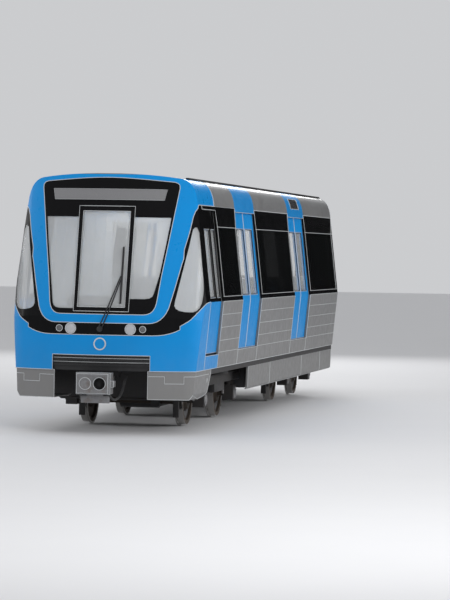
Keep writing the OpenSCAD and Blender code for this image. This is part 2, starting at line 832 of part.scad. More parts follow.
module bogie_springs(pivot_s) {
    car() color([0.07, 0.07, 0.07]) translate([-pivot_s, 0, 0]) both_sides() {
        for (x = [-1, 1] * wheelbase / 2) {
            difference() {
                translate([x - box_half, journal_y - 90, wheel_r - box_half])
                    cube([2 * box_half, 180, 2 * box_half]);
                translate([x, 0, wheel_r]) rotate([-90, 0, 0])
                    cylinder(r = journal_r + journal_gap, h = 2000);
            }
            for (dx = [-70, 70]) translate([x + dx, journal_y, wheel_r + box_half - 1])
                cylinder(r = 48, h = beam_z - wheel_r - box_half + 1);
        }
        translate([0, journal_y - 30, beam_top])
            cylinder(r = air_spring_r, h = foot_z - beam_top - touch_gap);
    }
}

motor_r = 205;
motor_in = 470;                    // from an axle to its motor
gear_gap = 8;                      // between a gear case and its axle

// Two motors, each with a gear case round its axle
module bogie_motors(pivot_s) {
    car() color([0.06, 0.06, 0.065]) translate([-pivot_s, 0, 0]) for (m = [0, 1]) mirror([m, 0, 0])
        translate([wheelbase / 2, 0, wheel_r]) difference() {
            union() {
                translate([-motor_in, -330, 30]) rotate([-90, 0, 0]) cylinder(r = motor_r, h = 600);
                translate([-motor_in - 150, 269, -120]) cube([motor_in + 300, 130, 290]);
                translate([transom_half - wheelbase / 2, -200, beam_z - wheel_r - 60])
                    cube([wheelbase / 2 - transom_half - motor_in, 400, 60]);
            }
            rotate([-90, 0, 0]) cylinder(r = axle_r + gear_gap, h = 1000);
        }
}

module wheelset(axle_s) {
    tread_y = wheel_in + 32;
    car() color([0.3, 0.29, 0.28]) translate([-axle_s, 0, wheel_r]) rotate([-90, 0, 0]) {
        translate([0, 0, -journal_y - 70]) cylinder(r = journal_r, h = 2 * journal_y + 140);
        translate([0, 0, -wheel_in - wheel_w]) cylinder(r = axle_r, h = 2 * (wheel_in + wheel_w));
        for (m = [0, 1]) mirror([0, 0, m]) rotate_extrude($fn = 96) polygon([
            [axle_r - 5, wheel_in], [150, wheel_in - 10], [170, wheel_in + 40],
            [wheel_r - 70, wheel_in + 40],
            [wheel_r - 60, wheel_in], [wheel_r + flange_h - 6, wheel_in], [wheel_r + flange_h, wheel_in + 8],
            [wheel_r + flange_h, wheel_in + 20], [wheel_r, tread_y], [wheel_r, wheel_in + wheel_w],
            [wheel_r - 60, wheel_in + wheel_w], [wheel_r - 70, wheel_in + 75], [170, wheel_in + 75],
            [150, wheel_in + wheel_w + 10], [axle_r - 5, wheel_in + wheel_w + 10]]);
    }
}

module front_bogie_frame() { bogie_frame(front_pivot_s); }
module front_bogie_springs() { bogie_springs(front_pivot_s); }
module front_bogie_motors() { bogie_motors(front_pivot_s); }
module front_wheelset_1() { wheelset(front_pivot_s - wheelbase / 2); }
module front_wheelset_2() { wheelset(front_pivot_s + wheelbase / 2); }
module rear_bogie_frame() { bogie_frame(rear_pivot_s); }
module rear_bogie_springs() { bogie_springs(rear_pivot_s); }
module rear_bogie_motors() { bogie_motors(rear_pivot_s); }
module rear_wheelset_1() { wheelset(rear_pivot_s - wheelbase / 2); }
module rear_wheelset_2() { wheelset(rear_pivot_s + wheelbase / 2); }

// ---------------------------------------------------------------- couplers

module front_coupler() {
    car() color([0.45, 0.45, 0.45]) translate([0, 0, coupler_z]) difference() {
        union() {
            translate([120, -250, -155]) cube([coupler_reach - 120 - 60, 500, 310]);
            translate([coupler_reach - 61, -230, -140]) cube([61, 460, 280]);
            translate([60, -150, -110]) cube([70, 300, 220]);
            translate([-coupler_pivot_s, 0, 0]) rotate([0, 90, 0])
                cylinder(r = 62, h = coupler_pivot_s + 80);
            translate([-coupler_pivot_s, 0, -75]) cylinder(r = pin_r + 55, h = 150);
            translate([160, 245, -50]) cube([150, 50, 90]);
            translate([150, -210, -290]) cube([60, 420, 110]);
            translate([150, -120, -181]) cube([60, 240, 40]);
        }
        translate([coupler_reach - 120, 105, 0]) rotate([0, 90, 0]) cylinder(r = 90, h = 200);
        translate([-coupler_pivot_s, 0, -300]) cylinder(r = pin_r + 1, h = 600);
    }
}

flange_r = 140;

module rear_drawbar() {
    back = drawbar_reach;
    car() color([0.2, 0.2, 0.2]) translate([-body_len, 0, coupler_z]) difference() {
        union() {
            translate([-back, 0, 0]) rotate([0, 90, 0]) cylinder(r = flange_r, h = 30);
            translate([-back, 0, 0]) rotate([0, 90, 0]) cylinder(r = 60, h = back + drawbar_in);
            translate([drawbar_in, 0, -75]) cylinder(r = pin_r + 55, h = 150);
        }
        translate([drawbar_in, 0, -300]) cylinder(r = pin_r + 1, h = 600);
        for (i = [0:5]) rotate([60 * i, 0, 0])
            translate([-back - 10, 0, 110]) rotate([0, 90, 0]) cylinder(r = 13, h = 60);
    }
}

underframe();
side_panels();
window_bands();
window_glass();
wall_linings();
ceiling();
roof();
roof_gutters();
roof_vents();
rear_end_wall();
gangway_bellows();
cab_shell();
front_apron();
lamp_band();
windscreen_surround();
cab_glass();
emergency_frame();
destination_display();
headlamps();
front_grille();
front_bumpers();
wiper();
side_skirts();
equipment_cases();
cab_desk();
driver_seat();
cab_partition();
passenger_seats();
grab_poles();
left_cab_door();
right_cab_door();
left_door_1_front();
left_door_1_rear();
left_door_2_front();
left_door_2_rear();
right_door_1_front();
right_door_1_rear();
right_door_2_front();
right_door_2_rear();
front_bogie_frame();
front_bogie_springs();
front_bogie_motors();
front_wheelset_1();
front_wheelset_2();
rear_bogie_frame();
rear_bogie_springs();
rear_bogie_motors();
rear_wheelset_1();
rear_wheelset_2();
front_coupler();
rear_drawbar();
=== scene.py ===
# Metro driving car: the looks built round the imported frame. Lengths are in metres.
# X runs forward, Y to the left, Z up from the lowest point of the wheel flanges.
import json
import math
import random

import bmesh
import bpy
from mathutils import Matrix, Vector
from mathutils.bvhtree import BVHTree

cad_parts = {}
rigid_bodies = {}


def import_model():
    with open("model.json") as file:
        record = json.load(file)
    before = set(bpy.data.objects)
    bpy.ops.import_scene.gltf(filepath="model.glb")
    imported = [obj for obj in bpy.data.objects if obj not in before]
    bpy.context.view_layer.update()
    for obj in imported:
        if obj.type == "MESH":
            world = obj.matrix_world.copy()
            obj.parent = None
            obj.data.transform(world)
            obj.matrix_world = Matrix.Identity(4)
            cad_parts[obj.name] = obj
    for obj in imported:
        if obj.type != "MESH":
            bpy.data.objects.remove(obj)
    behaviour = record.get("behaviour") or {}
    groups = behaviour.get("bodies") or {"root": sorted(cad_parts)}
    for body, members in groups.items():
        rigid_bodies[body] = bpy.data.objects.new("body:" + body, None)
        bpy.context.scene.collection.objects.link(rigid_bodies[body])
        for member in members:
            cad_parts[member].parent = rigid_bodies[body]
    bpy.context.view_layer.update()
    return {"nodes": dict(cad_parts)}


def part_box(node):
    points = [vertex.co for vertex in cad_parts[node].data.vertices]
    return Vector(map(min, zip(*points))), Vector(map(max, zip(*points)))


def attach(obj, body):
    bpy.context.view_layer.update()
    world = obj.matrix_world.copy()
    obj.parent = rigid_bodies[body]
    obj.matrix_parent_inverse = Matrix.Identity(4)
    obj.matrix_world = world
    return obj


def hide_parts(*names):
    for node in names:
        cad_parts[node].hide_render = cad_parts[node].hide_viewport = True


for thing in list(bpy.data.objects):
    bpy.data.objects.remove(thing)

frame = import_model()
print("frame loaded:", len(frame["nodes"]), "nodes")

# ------------------------------------------------ sizes taken from the frame

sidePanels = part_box("side_panels")
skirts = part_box("side_skirts")
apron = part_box("front_apron")
rearX = sidePanels[0].x              # rear end of the body
footZ = sidePanels[0].z              # foot of the side walls
waistZ = sidePanels[1].z             # widest point of the body
halfWidth = sidePanels[1].y
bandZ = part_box("window_bands")[1].z  # top of the dark band
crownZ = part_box("roof")[1].z
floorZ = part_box("underframe")[1].z
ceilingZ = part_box("ceiling")[0].z
noseX = apron[1].x + 0.05            # nose datum, just before the middle of the front
doorPairs = []
for number in (1, 2):
    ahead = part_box(f"left_door_{number}_front")
    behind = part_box(f"left_door_{number}_rear")
    middle = (ahead[0].x + behind[1].x) / 2
    doorPairs.append({"middle": middle, "half": ahead[1].x - middle - 0.025})


# ------------------------------------------------ shape of the outer skin

skin = {
    "footIn": 0.092,      # how far the foot of a side lies inside the waist
    "bandIn": 0.168,      # and the top of the dark band
    "gutterIn": 0.402,    # and the gutter
    "bowRadius": 2.745,   # front, seen from above
    "cornerRadius": 0.45,
    "noseSet": 0.05,
    "rake": math.radians(12.5),
    "rakeZ": 1.738,       # where the rake starts
}


def sideY(z):
    if z < waistZ:
        return halfWidth - skin["footIn"] * (waistZ - z) / (waistZ - footZ)
    return halfWidth - skin["bandIn"] * (z - waistZ) / (bandZ - waistZ)


def bend(a, b, c, steps):
    # quadratic curve from a to c pulled towards b, as points with their tangents
    rows = []
    for i in range(steps + 1):
        t = i / steps
        point = [(1 - t) ** 2 * p + 2 * t * (1 - t) * q + t * t * r for p, q, r in zip(a, b, c)]
        slope = [2 * (1 - t) * (q - p) + 2 * t * (r - q) for p, q, r in zip(a, b, c)]
        rows.append((point, slope))
    return rows


def sectionSamples():
    # cross-section of the body as (y, z, normal y, normal z), left half
    gutter = (halfWidth - skin["gutterIn"], crownZ - 0.067)
    rows = []
    runs = [
        [((sideY(footZ), footZ), (1, 0.09)), ((halfWidth, waistZ - 1e-4), (1, 0.09))],
        bend((halfWidth - skin["bandIn"], bandZ), (halfWidth - 0.192, bandZ + 0.333), gutter, 60),
        bend(gutter, (halfWidth - 0.852, crownZ), (0, crownZ), 60),
    ]
    for i in range(41):
        z = footZ + (waistZ - footZ) * i / 40
        rows.append((sideY(z), z, 1, -skin["footIn"] / (waistZ - footZ)))
    for i in range(41):
        z = waistZ + (bandZ - waistZ) * i / 40
        rows.append((sideY(z), z, 1, skin["bandIn"] / (bandZ - waistZ)))
    for run in runs[1:]:
        for point, slope in run:
            rows.append((point[0], point[1], slope[1], -slope[0]))
    return rows


def planSamples():
    # nose seen from above as (distance behind the datum, y, normal forward, normal y)
    bowMiddle = skin["noseSet"] + skin["bowRadius"]
    reach = skin["bowRadius"] - skin["cornerRadius"]
    planHalf = halfWidth + 0.008
    cornerY = planHalf - skin["cornerRadius"]
    cornerMiddle = bowMiddle - math.sqrt(reach ** 2 - cornerY ** 2)
    turn = math.asin(cornerY / reach)
    rows = []
    for i in range(121):
        a = turn * i / 120
        r = skin["bowRadius"]
        rows.append((bowMiddle - r * math.cos(a), r * math.sin(a), math.cos(a), math.sin(a)))
    for i in range(121):
        a = turn + (math.pi / 2 - turn) * i / 120
        r = skin["cornerRadius"]
        rows.append((cornerMiddle - r * math.cos(a), cornerY + r * math.sin(a), math.cos(a), math.sin(a)))
    rows.append((3.2, planHalf, 0, 1))
    return rows


sectionRows = sectionSamples()
planRows = planSamples()


def nearestRow(rows, a, b):
    # distance to the outline and its normal there
    best = min(rows, key=lambda row: (row[0] - a) ** 2 + (row[1] - b) ** 2)
    size = math.hypot(best[2], best[3])
    away = ((a - best[0]) * best[2] + (b - best[1]) * best[3]) / size
    return abs(away), best[2] / size, best[3] / size


def skinNormal(point, faceNormal):
    # normal of the smooth outer skin at a point on it, or None away from the skin
    side = 1 if point.y >= 0 else -1
    found = []
    away, ny, nz = nearestRow(sectionRows, abs(point.y), point.z)
    found.append((away, Vector((0, side * ny, nz))))
    if point.x > noseX - 2.2:
        away, nf, ny = nearestRow(planRows, noseX - point.x, abs(point.y))
        found.append((away, Vector((nf, side * ny, 0))))
        hinge = Vector((noseX - skin["noseSet"], 0, skin["rakeZ"]))
        turned = Matrix.Rotation(skin["rake"], 3, "Y") @ (point - hinge)
        away, nf, ny = nearestRow(planRows, skin["noseSet"] - turned.x, abs(turned.y))
        normal = Matrix.Rotation(-skin["rake"], 3, "Y") @ Vector((nf, side * ny, 0))
        found.append((away, normal))
    fits = [n for away, n in found if away < 0.004 and n.angle(faceNormal, 3) < 0.16]
    return min(fits, key=lambda n: n.angle(faceNormal)) if fits else None


# ------------------------------------------------ node tree helpers

def newMaterial(name, **values):
    material = bpy.data.materials.new(name)
    material.use_nodes = True
    shader = material.node_tree.nodes["Principled BSDF"]
    for key, value in values.items():
        label = {"color": "Base Color", "rough": "Roughness", "metal": "Metallic", "coat": "Coat Weight",
                 "coatRough": "Coat Roughness", "clear": "Transmission Weight", "ior": "IOR",
                 "sheen": "Sheen Weight", "glow": "Emission Strength", "glowColor": "Emission Color",
                 "specular": "Specular IOR Level", "solid": "Alpha"}[key]
        shader.inputs[label].default_value = (*value, 1) if isinstance(value, tuple) else value
    return material, material.node_tree, shader


def add(tree, kind, links=None, **values):
    # a node with its settings, and inputs given by name or place
    node = tree.nodes.new(kind)
    for key, value in values.items():
        setattr(node, key, value)
    for key, value in (links or {}).items():
        socket = node.inputs[key]
        if isinstance(value, bpy.types.NodeSocket):
            tree.links.new(value, socket)
        else:
            socket.default_value = value
    return node


def place(tree, scale=(1, 1, 1)):
    source = add(tree, "ShaderNodeTexCoord")
    return add(tree, "ShaderNodeMapping", {"Vector": source.outputs["Object"], "Scale": scale}).outputs[0]


def noise(tree, vector, scale, detail=4.0, rough=0.55):
    return add(tree, "ShaderNodeTexNoise",
               {"Vector": vector, "Scale": scale, "Detail": detail, "Roughness": rough}).outputs["Fac"]


def ramp(tree, value, low, high, fromValue=0.0, toValue=1.0):
    return add(tree, "ShaderNodeMapRange", {"Value": value, "From Min": low, "From Max": high,
                                            "To Min": fromValue, "To Max": toValue}).outputs[0]


def calc(tree, operation, a, b=0.0):
    return add(tree, "ShaderNodeMath", {0: a, 1: b}, operation=operation).outputs[0]


def blend(tree, amount, first, second):
    node = add(tree, "ShaderNodeMix", {"Factor": amount}, data_type="RGBA")
    colors = [s for s in node.inputs if s.type == "RGBA"]
    for socket, value in zip(colors, (first, second)):
        if isinstance(value, bpy.types.NodeSocket):
            tree.links.new(value, socket)
        else:
            socket.default_value = (*value, 1)
    return [s for s in node.outputs if s.type == "RGBA"][0]


def bump(tree, shader, height, strength, distance):
    node = add(tree, "ShaderNodeBump", {"Height": height, "Strength": strength, "Distance": distance})
    tree.links.new(node.outputs[0], shader.inputs["Normal"])
    return node


def axes(tree):
    source = add(tree, "ShaderNodeTexCoord")
    return add(tree, "ShaderNodeSeparateXYZ", {0: source.outputs["Object"]}).outputs


def shades(color, amount):
    return tuple(min(1, c * amount) for c in color)


# ------------------------------------------------ finishes

blueColor = (0.0, 0.235, 0.6)
greyColor = (0.19, 0.19, 0.192)
paleColor = (0.52, 0.54, 0.55)


def paintFinish(name, color, rough=0.3, coat=0.5, dust=0.12):
    # sprayed paint: orange peel, slow waves in the panel, dust towards the foot
    material, tree, shader = newMaterial(name, coat=coat, coatRough=0.1, specular=0.2)
    vector = place(tree)
    tone = blend(tree, noise(tree, vector, 1.7), shades(color, 0.93), shades(color, 1.06))
    x, y, z = axes(tree)
    low = ramp(tree, z, 0.4, 1.5, 1, 0)
    film = calc(tree, "MULTIPLY", calc(tree, "MULTIPLY", low, noise(tree, vector, 6, 8)), dust * 2)
    tree.links.new(blend(tree, film, tone, (0.2, 0.19, 0.17)), shader.inputs["Base Color"])
    patch = ramp(tree, noise(tree, vector, 9, 6), 0.3, 0.7, rough - 0.05, rough + 0.08)
    tree.links.new(patch, shader.inputs["Roughness"])
    peel = calc(tree, "ADD", noise(tree, vector, 120, 2), calc(tree, "MULTIPLY", noise(tree, vector, 2.2, 1), 6))
    bump(tree, shader, peel, 0.05, 0.001)
    return material


def roofFinish(name):
    # grey roof with blue bands rising from the doors, soot along the crown
    material, tree, shader = newMaterial(name, coat=0.3, coatRough=0.12)
    vector = place(tree)
    x, y, z = axes(tree)
    inside = None
    for pair in doorPairs:
        away = calc(tree, "ABSOLUTE", calc(tree, "SUBTRACT", x, pair["middle"]))
        band = calc(tree, "LESS_THAN", away, pair["half"])
        inside = band if inside is None else calc(tree, "MAXIMUM", inside, band)
    low = calc(tree, "LESS_THAN", z, crownZ - 0.062)
    mask = calc(tree, "MULTIPLY", inside, low)
    cloud = noise(tree, vector, 3, 8)
    grey = blend(tree, cloud, shades(greyColor, 0.9), shades(greyColor, 1.08))
    blue = blend(tree, cloud, shades(blueColor, 0.94), shades(blueColor, 1.05))
    tone = blend(tree, mask, grey, blue)
    crown = ramp(tree, z, crownZ - 0.12, crownZ, 0, 0.5)
    soot = calc(tree, "MULTIPLY", crown, ramp(tree, noise(tree, vector, 5, 9), 0.4, 0.7))
    tree.links.new(blend(tree, soot, tone, (0.06, 0.058, 0.055)), shader.inputs["Base Color"])
    tree.links.new(ramp(tree, cloud, 0.3, 0.7, 0.34, 0.46), shader.inputs["Roughness"])
    bump(tree, shader, noise(tree, vector, 220, 2), 0.1, 0.0012)
    return material


def cabShellFinish(name):
    # blue cab with a grey roof panel behind the brow
    material, tree, shader = newMaterial(name, coat=0.08, coatRough=0.1, specular=0.2)
    vector = place(tree)
    x, y, z = axes(tree)
    high = calc(tree, "GREATER_THAN", z, crownZ - 0.012)
    narrow = calc(tree, "LESS_THAN", calc(tree, "ABSOLUTE", y), halfWidth - 0.5)
    cloud = noise(tree, vector, 1.7)
    blue = blend(tree, cloud, shades(blueColor, 0.93), shades(blueColor, 1.06))
    grey = blend(tree, cloud, shades(greyColor, 0.9), shades(greyColor, 1.08))
    tree.links.new(blend(tree, calc(tree, "MULTIPLY", high, narrow), blue, grey), shader.inputs["Base Color"])
    tree.links.new(ramp(tree, noise(tree, vector, 9, 6), 0.3, 0.7, 0.25, 0.38), shader.inputs["Roughness"])
    bump(tree, shader, noise(tree, vector, 120, 2), 0.05, 0.001)
    return material


def glossFinish(name, color, rough=0.12):
    # bonded black panel: deep gloss with faint wipe marks
    material, tree, shader = newMaterial(name, specular=0.1)
    vector = place(tree, (1, 1, 0.25))
    marks = noise(tree, vector, 14, 9, 0.7)
    tree.links.new(blend(tree, marks, shades(color, 0.8), shades(color, 1.3)), shader.inputs["Base Color"])
    tree.links.new(ramp(tree, marks, 0.35, 0.75, rough, rough + 0.14), shader.inputs["Roughness"])
    bump(tree, shader, noise(tree, vector, 1.6, 1), 0.2, 0.004)
    return material


def glassFinish(name, color, solid, rough=0.03):
    # pane with a faint film on it, through which most light passes straight
    material, tree, shader = newMaterial(name, solid=solid, ior=1.45)
    vector = place(tree, (1, 1, 0.3))
    streaks = noise(tree, vector, 11, 9, 0.7)
    tree.links.new(blend(tree, streaks, shades(color, 0.95), shades(color, 1.05)), shader.inputs["Base Color"])
    tree.links.new(ramp(tree, streaks, 0.4, 0.8, rough, rough + 0.06), shader.inputs["Roughness"])
    bump(tree, shader, noise(tree, vector, 2.5, 1), 0.05, 0.002)
    return material


def mouldedFinish(name, color, rough=0.5, grain=420, depth=0.0006):
    # moulded plastic or laminate with a fine pebbled grain
    material, tree, shader = newMaterial(name)
    vector = place(tree)
    tree.links.new(blend(tree, noise(tree, vector, 4, 6), shades(color, 0.92), shades(color, 1.07)),
                   shader.inputs["Base Color"])
    tree.links.new(ramp(tree, noise(tree, vector, 12, 6), 0.3, 0.7, rough - 0.06, rough + 0.08),
                   shader.inputs["Roughness"])
    cells = add(tree, "ShaderNodeTexVoronoi", {"Vector": vector, "Scale": grain}).outputs["Distance"]
    bump(tree, shader, cells, 0.35, depth)
    return material


def rubberFinish(name, color=(0.018, 0.018, 0.019), rough=0.72):
    material, tree, shader = newMaterial(name, sheen=0.08)
    vector = place(tree)
    bloom = ramp(tree, noise(tree, vector, 7, 9), 0.45, 0.75, 0, 0.35)
    tree.links.new(blend(tree, bloom, color, (0.07, 0.068, 0.064)), shader.inputs["Base Color"])
    tree.links.new(ramp(tree, noise(tree, vector, 18, 6), 0.3, 0.7, rough - 0.1, rough + 0.1),
                   shader.inputs["Roughness"])
    bump(tree, shader, noise(tree, vector, 320, 3), 0.3, 0.0008)
    return material


def frameFinish(name, color, dust=0.4, rough=0.55, metal=0.0):
    # brushed-on chassis paint, with brake dust caught on what faces up
    material, tree, shader = newMaterial(name, metal=metal)
    vector = place(tree)
    facing = add(tree, "ShaderNodeNewGeometry")
    up = add(tree, "ShaderNodeSeparateXYZ", {0: facing.outputs["Normal"]}).outputs[2]
    caught = calc(tree, "MULTIPLY", ramp(tree, up, -0.2, 1), ramp(tree, noise(tree, vector, 8, 10), 0.3, 0.65))
    speck = ramp(tree, noise(tree, vector, 60, 6), 0.52, 0.68, 0, 0.4)
    film = calc(tree, "MULTIPLY", calc(tree, "MAXIMUM", caught, speck), dust)
    tone = blend(tree, noise(tree, vector, 3, 5), shades(color, 0.8), shades(color, 1.25))
    tree.links.new(blend(tree, film, tone, (0.11, 0.075, 0.05)), shader.inputs["Base Color"])
    tree.links.new(ramp(tree, film, 0, 0.4, rough, 0.85), shader.inputs["Roughness"])
    bump(tree, shader, noise(tree, vector, 90, 6), 0.35, 0.0015)
    return material


def castFinish(name, color, metal=0.7, rough=0.45, depth=0.002):
    # cast or forged steel, its tone varying at random, with rust patches
    material, tree, shader = newMaterial(name, metal=metal)
    vector = place(tree)
    rust = ramp(tree, noise(tree, vector, 9, 10, 0.65), 0.52, 0.72, 0, 0.55)
    tone = blend(tree, noise(tree, vector, 30, 4), shades(color, 0.8), shades(color, 1.2))
    tree.links.new(blend(tree, rust, tone, shades((0.16, 0.1, 0.065), 0.8)), shader.inputs["Base Color"])
    tree.links.new(ramp(tree, noise(tree, vector, 24, 8), 0.3, 0.7, rough - 0.1, rough + 0.18),
                   shader.inputs["Roughness"])
    bump(tree, shader, noise(tree, vector, 140, 6), 0.4, depth)
    return material


def wheelFinish(name):
    # dark web, bright running tread and flange root worked out from the axle height
    material, tree, shader = newMaterial(name)
    vector = place(tree)
    x, y, z = axes(tree)
    speck = noise(tree, vector, 40, 8)
    dark = blend(tree, speck, (0.035, 0.031, 0.028), (0.1, 0.075, 0.055))
    bright = blend(tree, noise(tree, place(tree, (1, 30, 1)), 20, 3), (0.3, 0.29, 0.28), (0.44, 0.43, 0.42))
    axles = [sum((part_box(f"{end}_wheelset_{n}")[i].x for i in (0, 1))) / 2 for end in ("front", "rear") for n in (1, 2)]
    nearest = None
    for axle in axles:
        away = calc(tree, "ABSOLUTE", calc(tree, "SUBTRACT", x, axle))
        nearest = away if nearest is None else calc(tree, "MINIMUM", nearest, away)
    up = calc(tree, "SUBTRACT", z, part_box("front_wheelset_1")[1].z / 2)
    radius = calc(tree, "SQRT", calc(tree, "ADD", calc(tree, "MULTIPLY", nearest, nearest),
                                     calc(tree, "MULTIPLY", up, up)))
    rim = calc(tree, "GREATER_THAN", radius, 0.386)
    tree.links.new(blend(tree, rim, dark, bright), shader.inputs["Base Color"])
    tree.links.new(ramp(tree, rim, 0, 1, 0.25, 1), shader.inputs["Metallic"])
    tree.links.new(ramp(tree, rim, 0, 1, 0.65, 0.22), shader.inputs["Roughness"])
    bump(tree, shader, speck, 0.3, 0.001)
    return material


def brushedFinish(name, color, scale=(1, 1, 40), rough=0.28):
    material, tree, shader = newMaterial(name, metal=1.0)
    vector = place(tree, scale)
    lines = noise(tree, vector, 60, 4)
    tree.links.new(blend(tree, lines, shades(color, 0.85), shades(color, 1.1)), shader.inputs["Base Color"])
    tree.links.new(ramp(tree, lines, 0.3, 0.7, rough - 0.08, rough + 0.12), shader.inputs["Roughness"])
    bump(tree, shader, lines, 0.1, 0.0004)
    return material


def clothFinish(name, color, second, scale=520):
    # woven seat cloth: two crossing wave bands, with small flecks of a second yarn
    material, tree, shader = newMaterial(name, sheen=0.35, rough=0.85)
    vector = place(tree)
    warp = add(tree, "ShaderNodeTexWave", {"Vector": vector, "Scale": scale, "Distortion": 0.6},
               bands_direction="Y").outputs["Fac"]
    weft = add(tree, "ShaderNodeTexWave", {"Vector": vector, "Scale": scale, "Distortion": 0.6},
               bands_direction="DIAGONAL").outputs["Fac"]
    weave = calc(tree, "MULTIPLY", warp, weft)
    fleck = add(tree, "ShaderNodeTexVoronoi", {"Vector": vector, "Scale": 46}).outputs["Distance"]
    mark = calc(tree, "LESS_THAN", fleck, 0.24)
    tone = blend(tree, weave, shades(color, 0.75), shades(color, 1.25))
    tree.links.new(blend(tree, mark, tone, second), shader.inputs["Base Color"])
    bump(tree, shader, weave, 0.5, 0.0008)
    return material


def floorFinish(name):
    # sheet flooring with quartz flecks and scuffs
    material, tree, shader = newMaterial(name)
    vector = place(tree)
    fleck = add(tree, "ShaderNodeTexVoronoi", {"Vector": vector, "Scale": 160}, feature="F1").outputs["Color"]
    bright = add(tree, "ShaderNodeSeparateColor", {0: fleck}).outputs[0]
    base = blend(tree, noise(tree, vector, 2, 6), (0.075, 0.08, 0.088), (0.1, 0.105, 0.112))
    tree.links.new(blend(tree, calc(tree, "GREATER_THAN", bright, 0.82), base, (0.36, 0.37, 0.38)),
                   shader.inputs["Base Color"])
    tree.links.new(ramp(tree, noise(tree, vector, 7, 8), 0.3, 0.7, 0.4, 0.6), shader.inputs["Roughness"])
    bump(tree, shader, bright, 0.2, 0.0005)
    return material


def gridFinish(name, base, dot, pitch, fill):
    # round cells on a square pitch over the Y-Z plane: an unlit lamp matrix or a mesh
    material, tree, shader = newMaterial(name, rough=0.35)
    x, y, z = axes(tree)
    away = None
    for value in (y, z):
        cell = calc(tree, "SUBTRACT", calc(tree, "FRACT", calc(tree, "DIVIDE", value, pitch)), 0.5)
        square = calc(tree, "MULTIPLY", cell, cell)
        away = square if away is None else calc(tree, "ADD", away, square)
    mask = calc(tree, "LESS_THAN", away, fill * fill)
    tree.links.new(blend(tree, mask, base, dot), shader.inputs["Base Color"])
    bump(tree, shader, mask, 0.4, 0.001)
    return material


def lightFinish(name, color, strength):
    # diffuser with a slightly uneven glow
    material, tree, shader = newMaterial(name, rough=0.4, glow=strength, glowColor=color)
    vector = place(tree)
    tree.links.new(blend(tree, noise(tree, vector, 30, 3), shades(color, 0.9), color), shader.inputs["Base Color"])
    return material


finish = {
    "blue": paintFinish("bluePaint", blueColor, rough=0.42, coat=0.03),
    "doorBlue": paintFinish("doorBluePaint", blueColor, rough=0.42, coat=0.03),
    "grey": paintFinish("greyPaint", greyColor, rough=0.42, coat=0.0, dust=0.2),
    "bumper": paintFinish("bumperPaint", shades(greyColor, 1.02), rough=0.42, coat=0.0, dust=0.2),
    "roof": roofFinish("roofPaint"),
    "cabShell": cabShellFinish("cabShellPaint"),
    "gloss": glossFinish("glossBlack", (0.004, 0.004, 0.0045)),
    "matt": mouldedFinish("mattBlack", (0.012, 0.012, 0.013), 0.55),
    "pale": mouldedFinish("paleSealant", paleColor, 0.5, 300, 0.0004),
    "tinted": glassFinish("tintedGlass", (0.004, 0.0045, 0.005), 0.9),
    "clear": glassFinish("clearGlass", (0.72, 0.74, 0.75), 0.34),
    "lens": glassFinish("lampLens", (0.62, 0.63, 0.65), 0.5, 0.05),
    "dimLens": glassFinish("dimLampLens", (0.14, 0.14, 0.145), 0.8, 0.08),
    "laminate": mouldedFinish("wallLaminate", (0.66, 0.68, 0.68), 0.42, 260, 0.0004),
    "ceiling": mouldedFinish("ceilingPanel", (0.74, 0.75, 0.75), 0.5, 200, 0.0003),
    "frame": frameFinish("chassisPaint", (0.018, 0.018, 0.02)),
    "bogie": frameFinish("bogiePaint", (0.016, 0.016, 0.017), 0.55),
    "motor": frameFinish("motorPaint", (0.022, 0.023, 0.026), 0.5),
    "case": frameFinish("casePaint", (0.026, 0.027, 0.03), 0.35),
    "rubber": rubberFinish("sealRubber"),
    "bellows": rubberFinish("bellowsRubber", (0.022, 0.022, 0.024), 0.8),
    "wheel": wheelFinish("wheelSteel"),
    "cast": castFinish("couplerCasting", (0.2, 0.2, 0.205), 0.35),
    "drawbar": castFinish("drawbarSteel", (0.12, 0.12, 0.125), 0.6),
    "steel": brushedFinish("poleSteel", (0.62, 0.62, 0.63)),
    "reflector": brushedFinish("reflectorMetal", (0.8, 0.81, 0.83), (1, 1, 1), 0.16),
    "floor": floorFinish("sheetFlooring"),
    "desk": mouldedFinish("deskPlastic", (0.05, 0.052, 0.056), 0.6, 380),
    "screen": gridFinish("deskScreen", (0.01, 0.012, 0.014), (0.02, 0.05, 0.06), 0.01, 0.3),
    "display": gridFinish("displayMatrix", (0.21, 0.21, 0.215), (0.15, 0.15, 0.155), 0.016, 0.36),
    "driverCloth": clothFinish("driverFabric", (0.03, 0.033, 0.04), (0.06, 0.07, 0.09)),
    "seatCloth": clothFinish("seatFabric", (0.012, 0.07, 0.2), (0.25, 0.34, 0.42)),
    "shell": mouldedFinish("seatShell", (0.2, 0.21, 0.22), 0.45, 320),
    "light": lightFinish("ceilingLight", (1.0, 0.98, 0.94), 9.0),
    "amber": mouldedFinish("amberLens", (0.55, 0.2, 0.02), 0.25, 90),
    "redLens": mouldedFinish("redLens", (0.42, 0.01, 0.008), 0.22, 90),
}
print("finishes made:", len(finish))

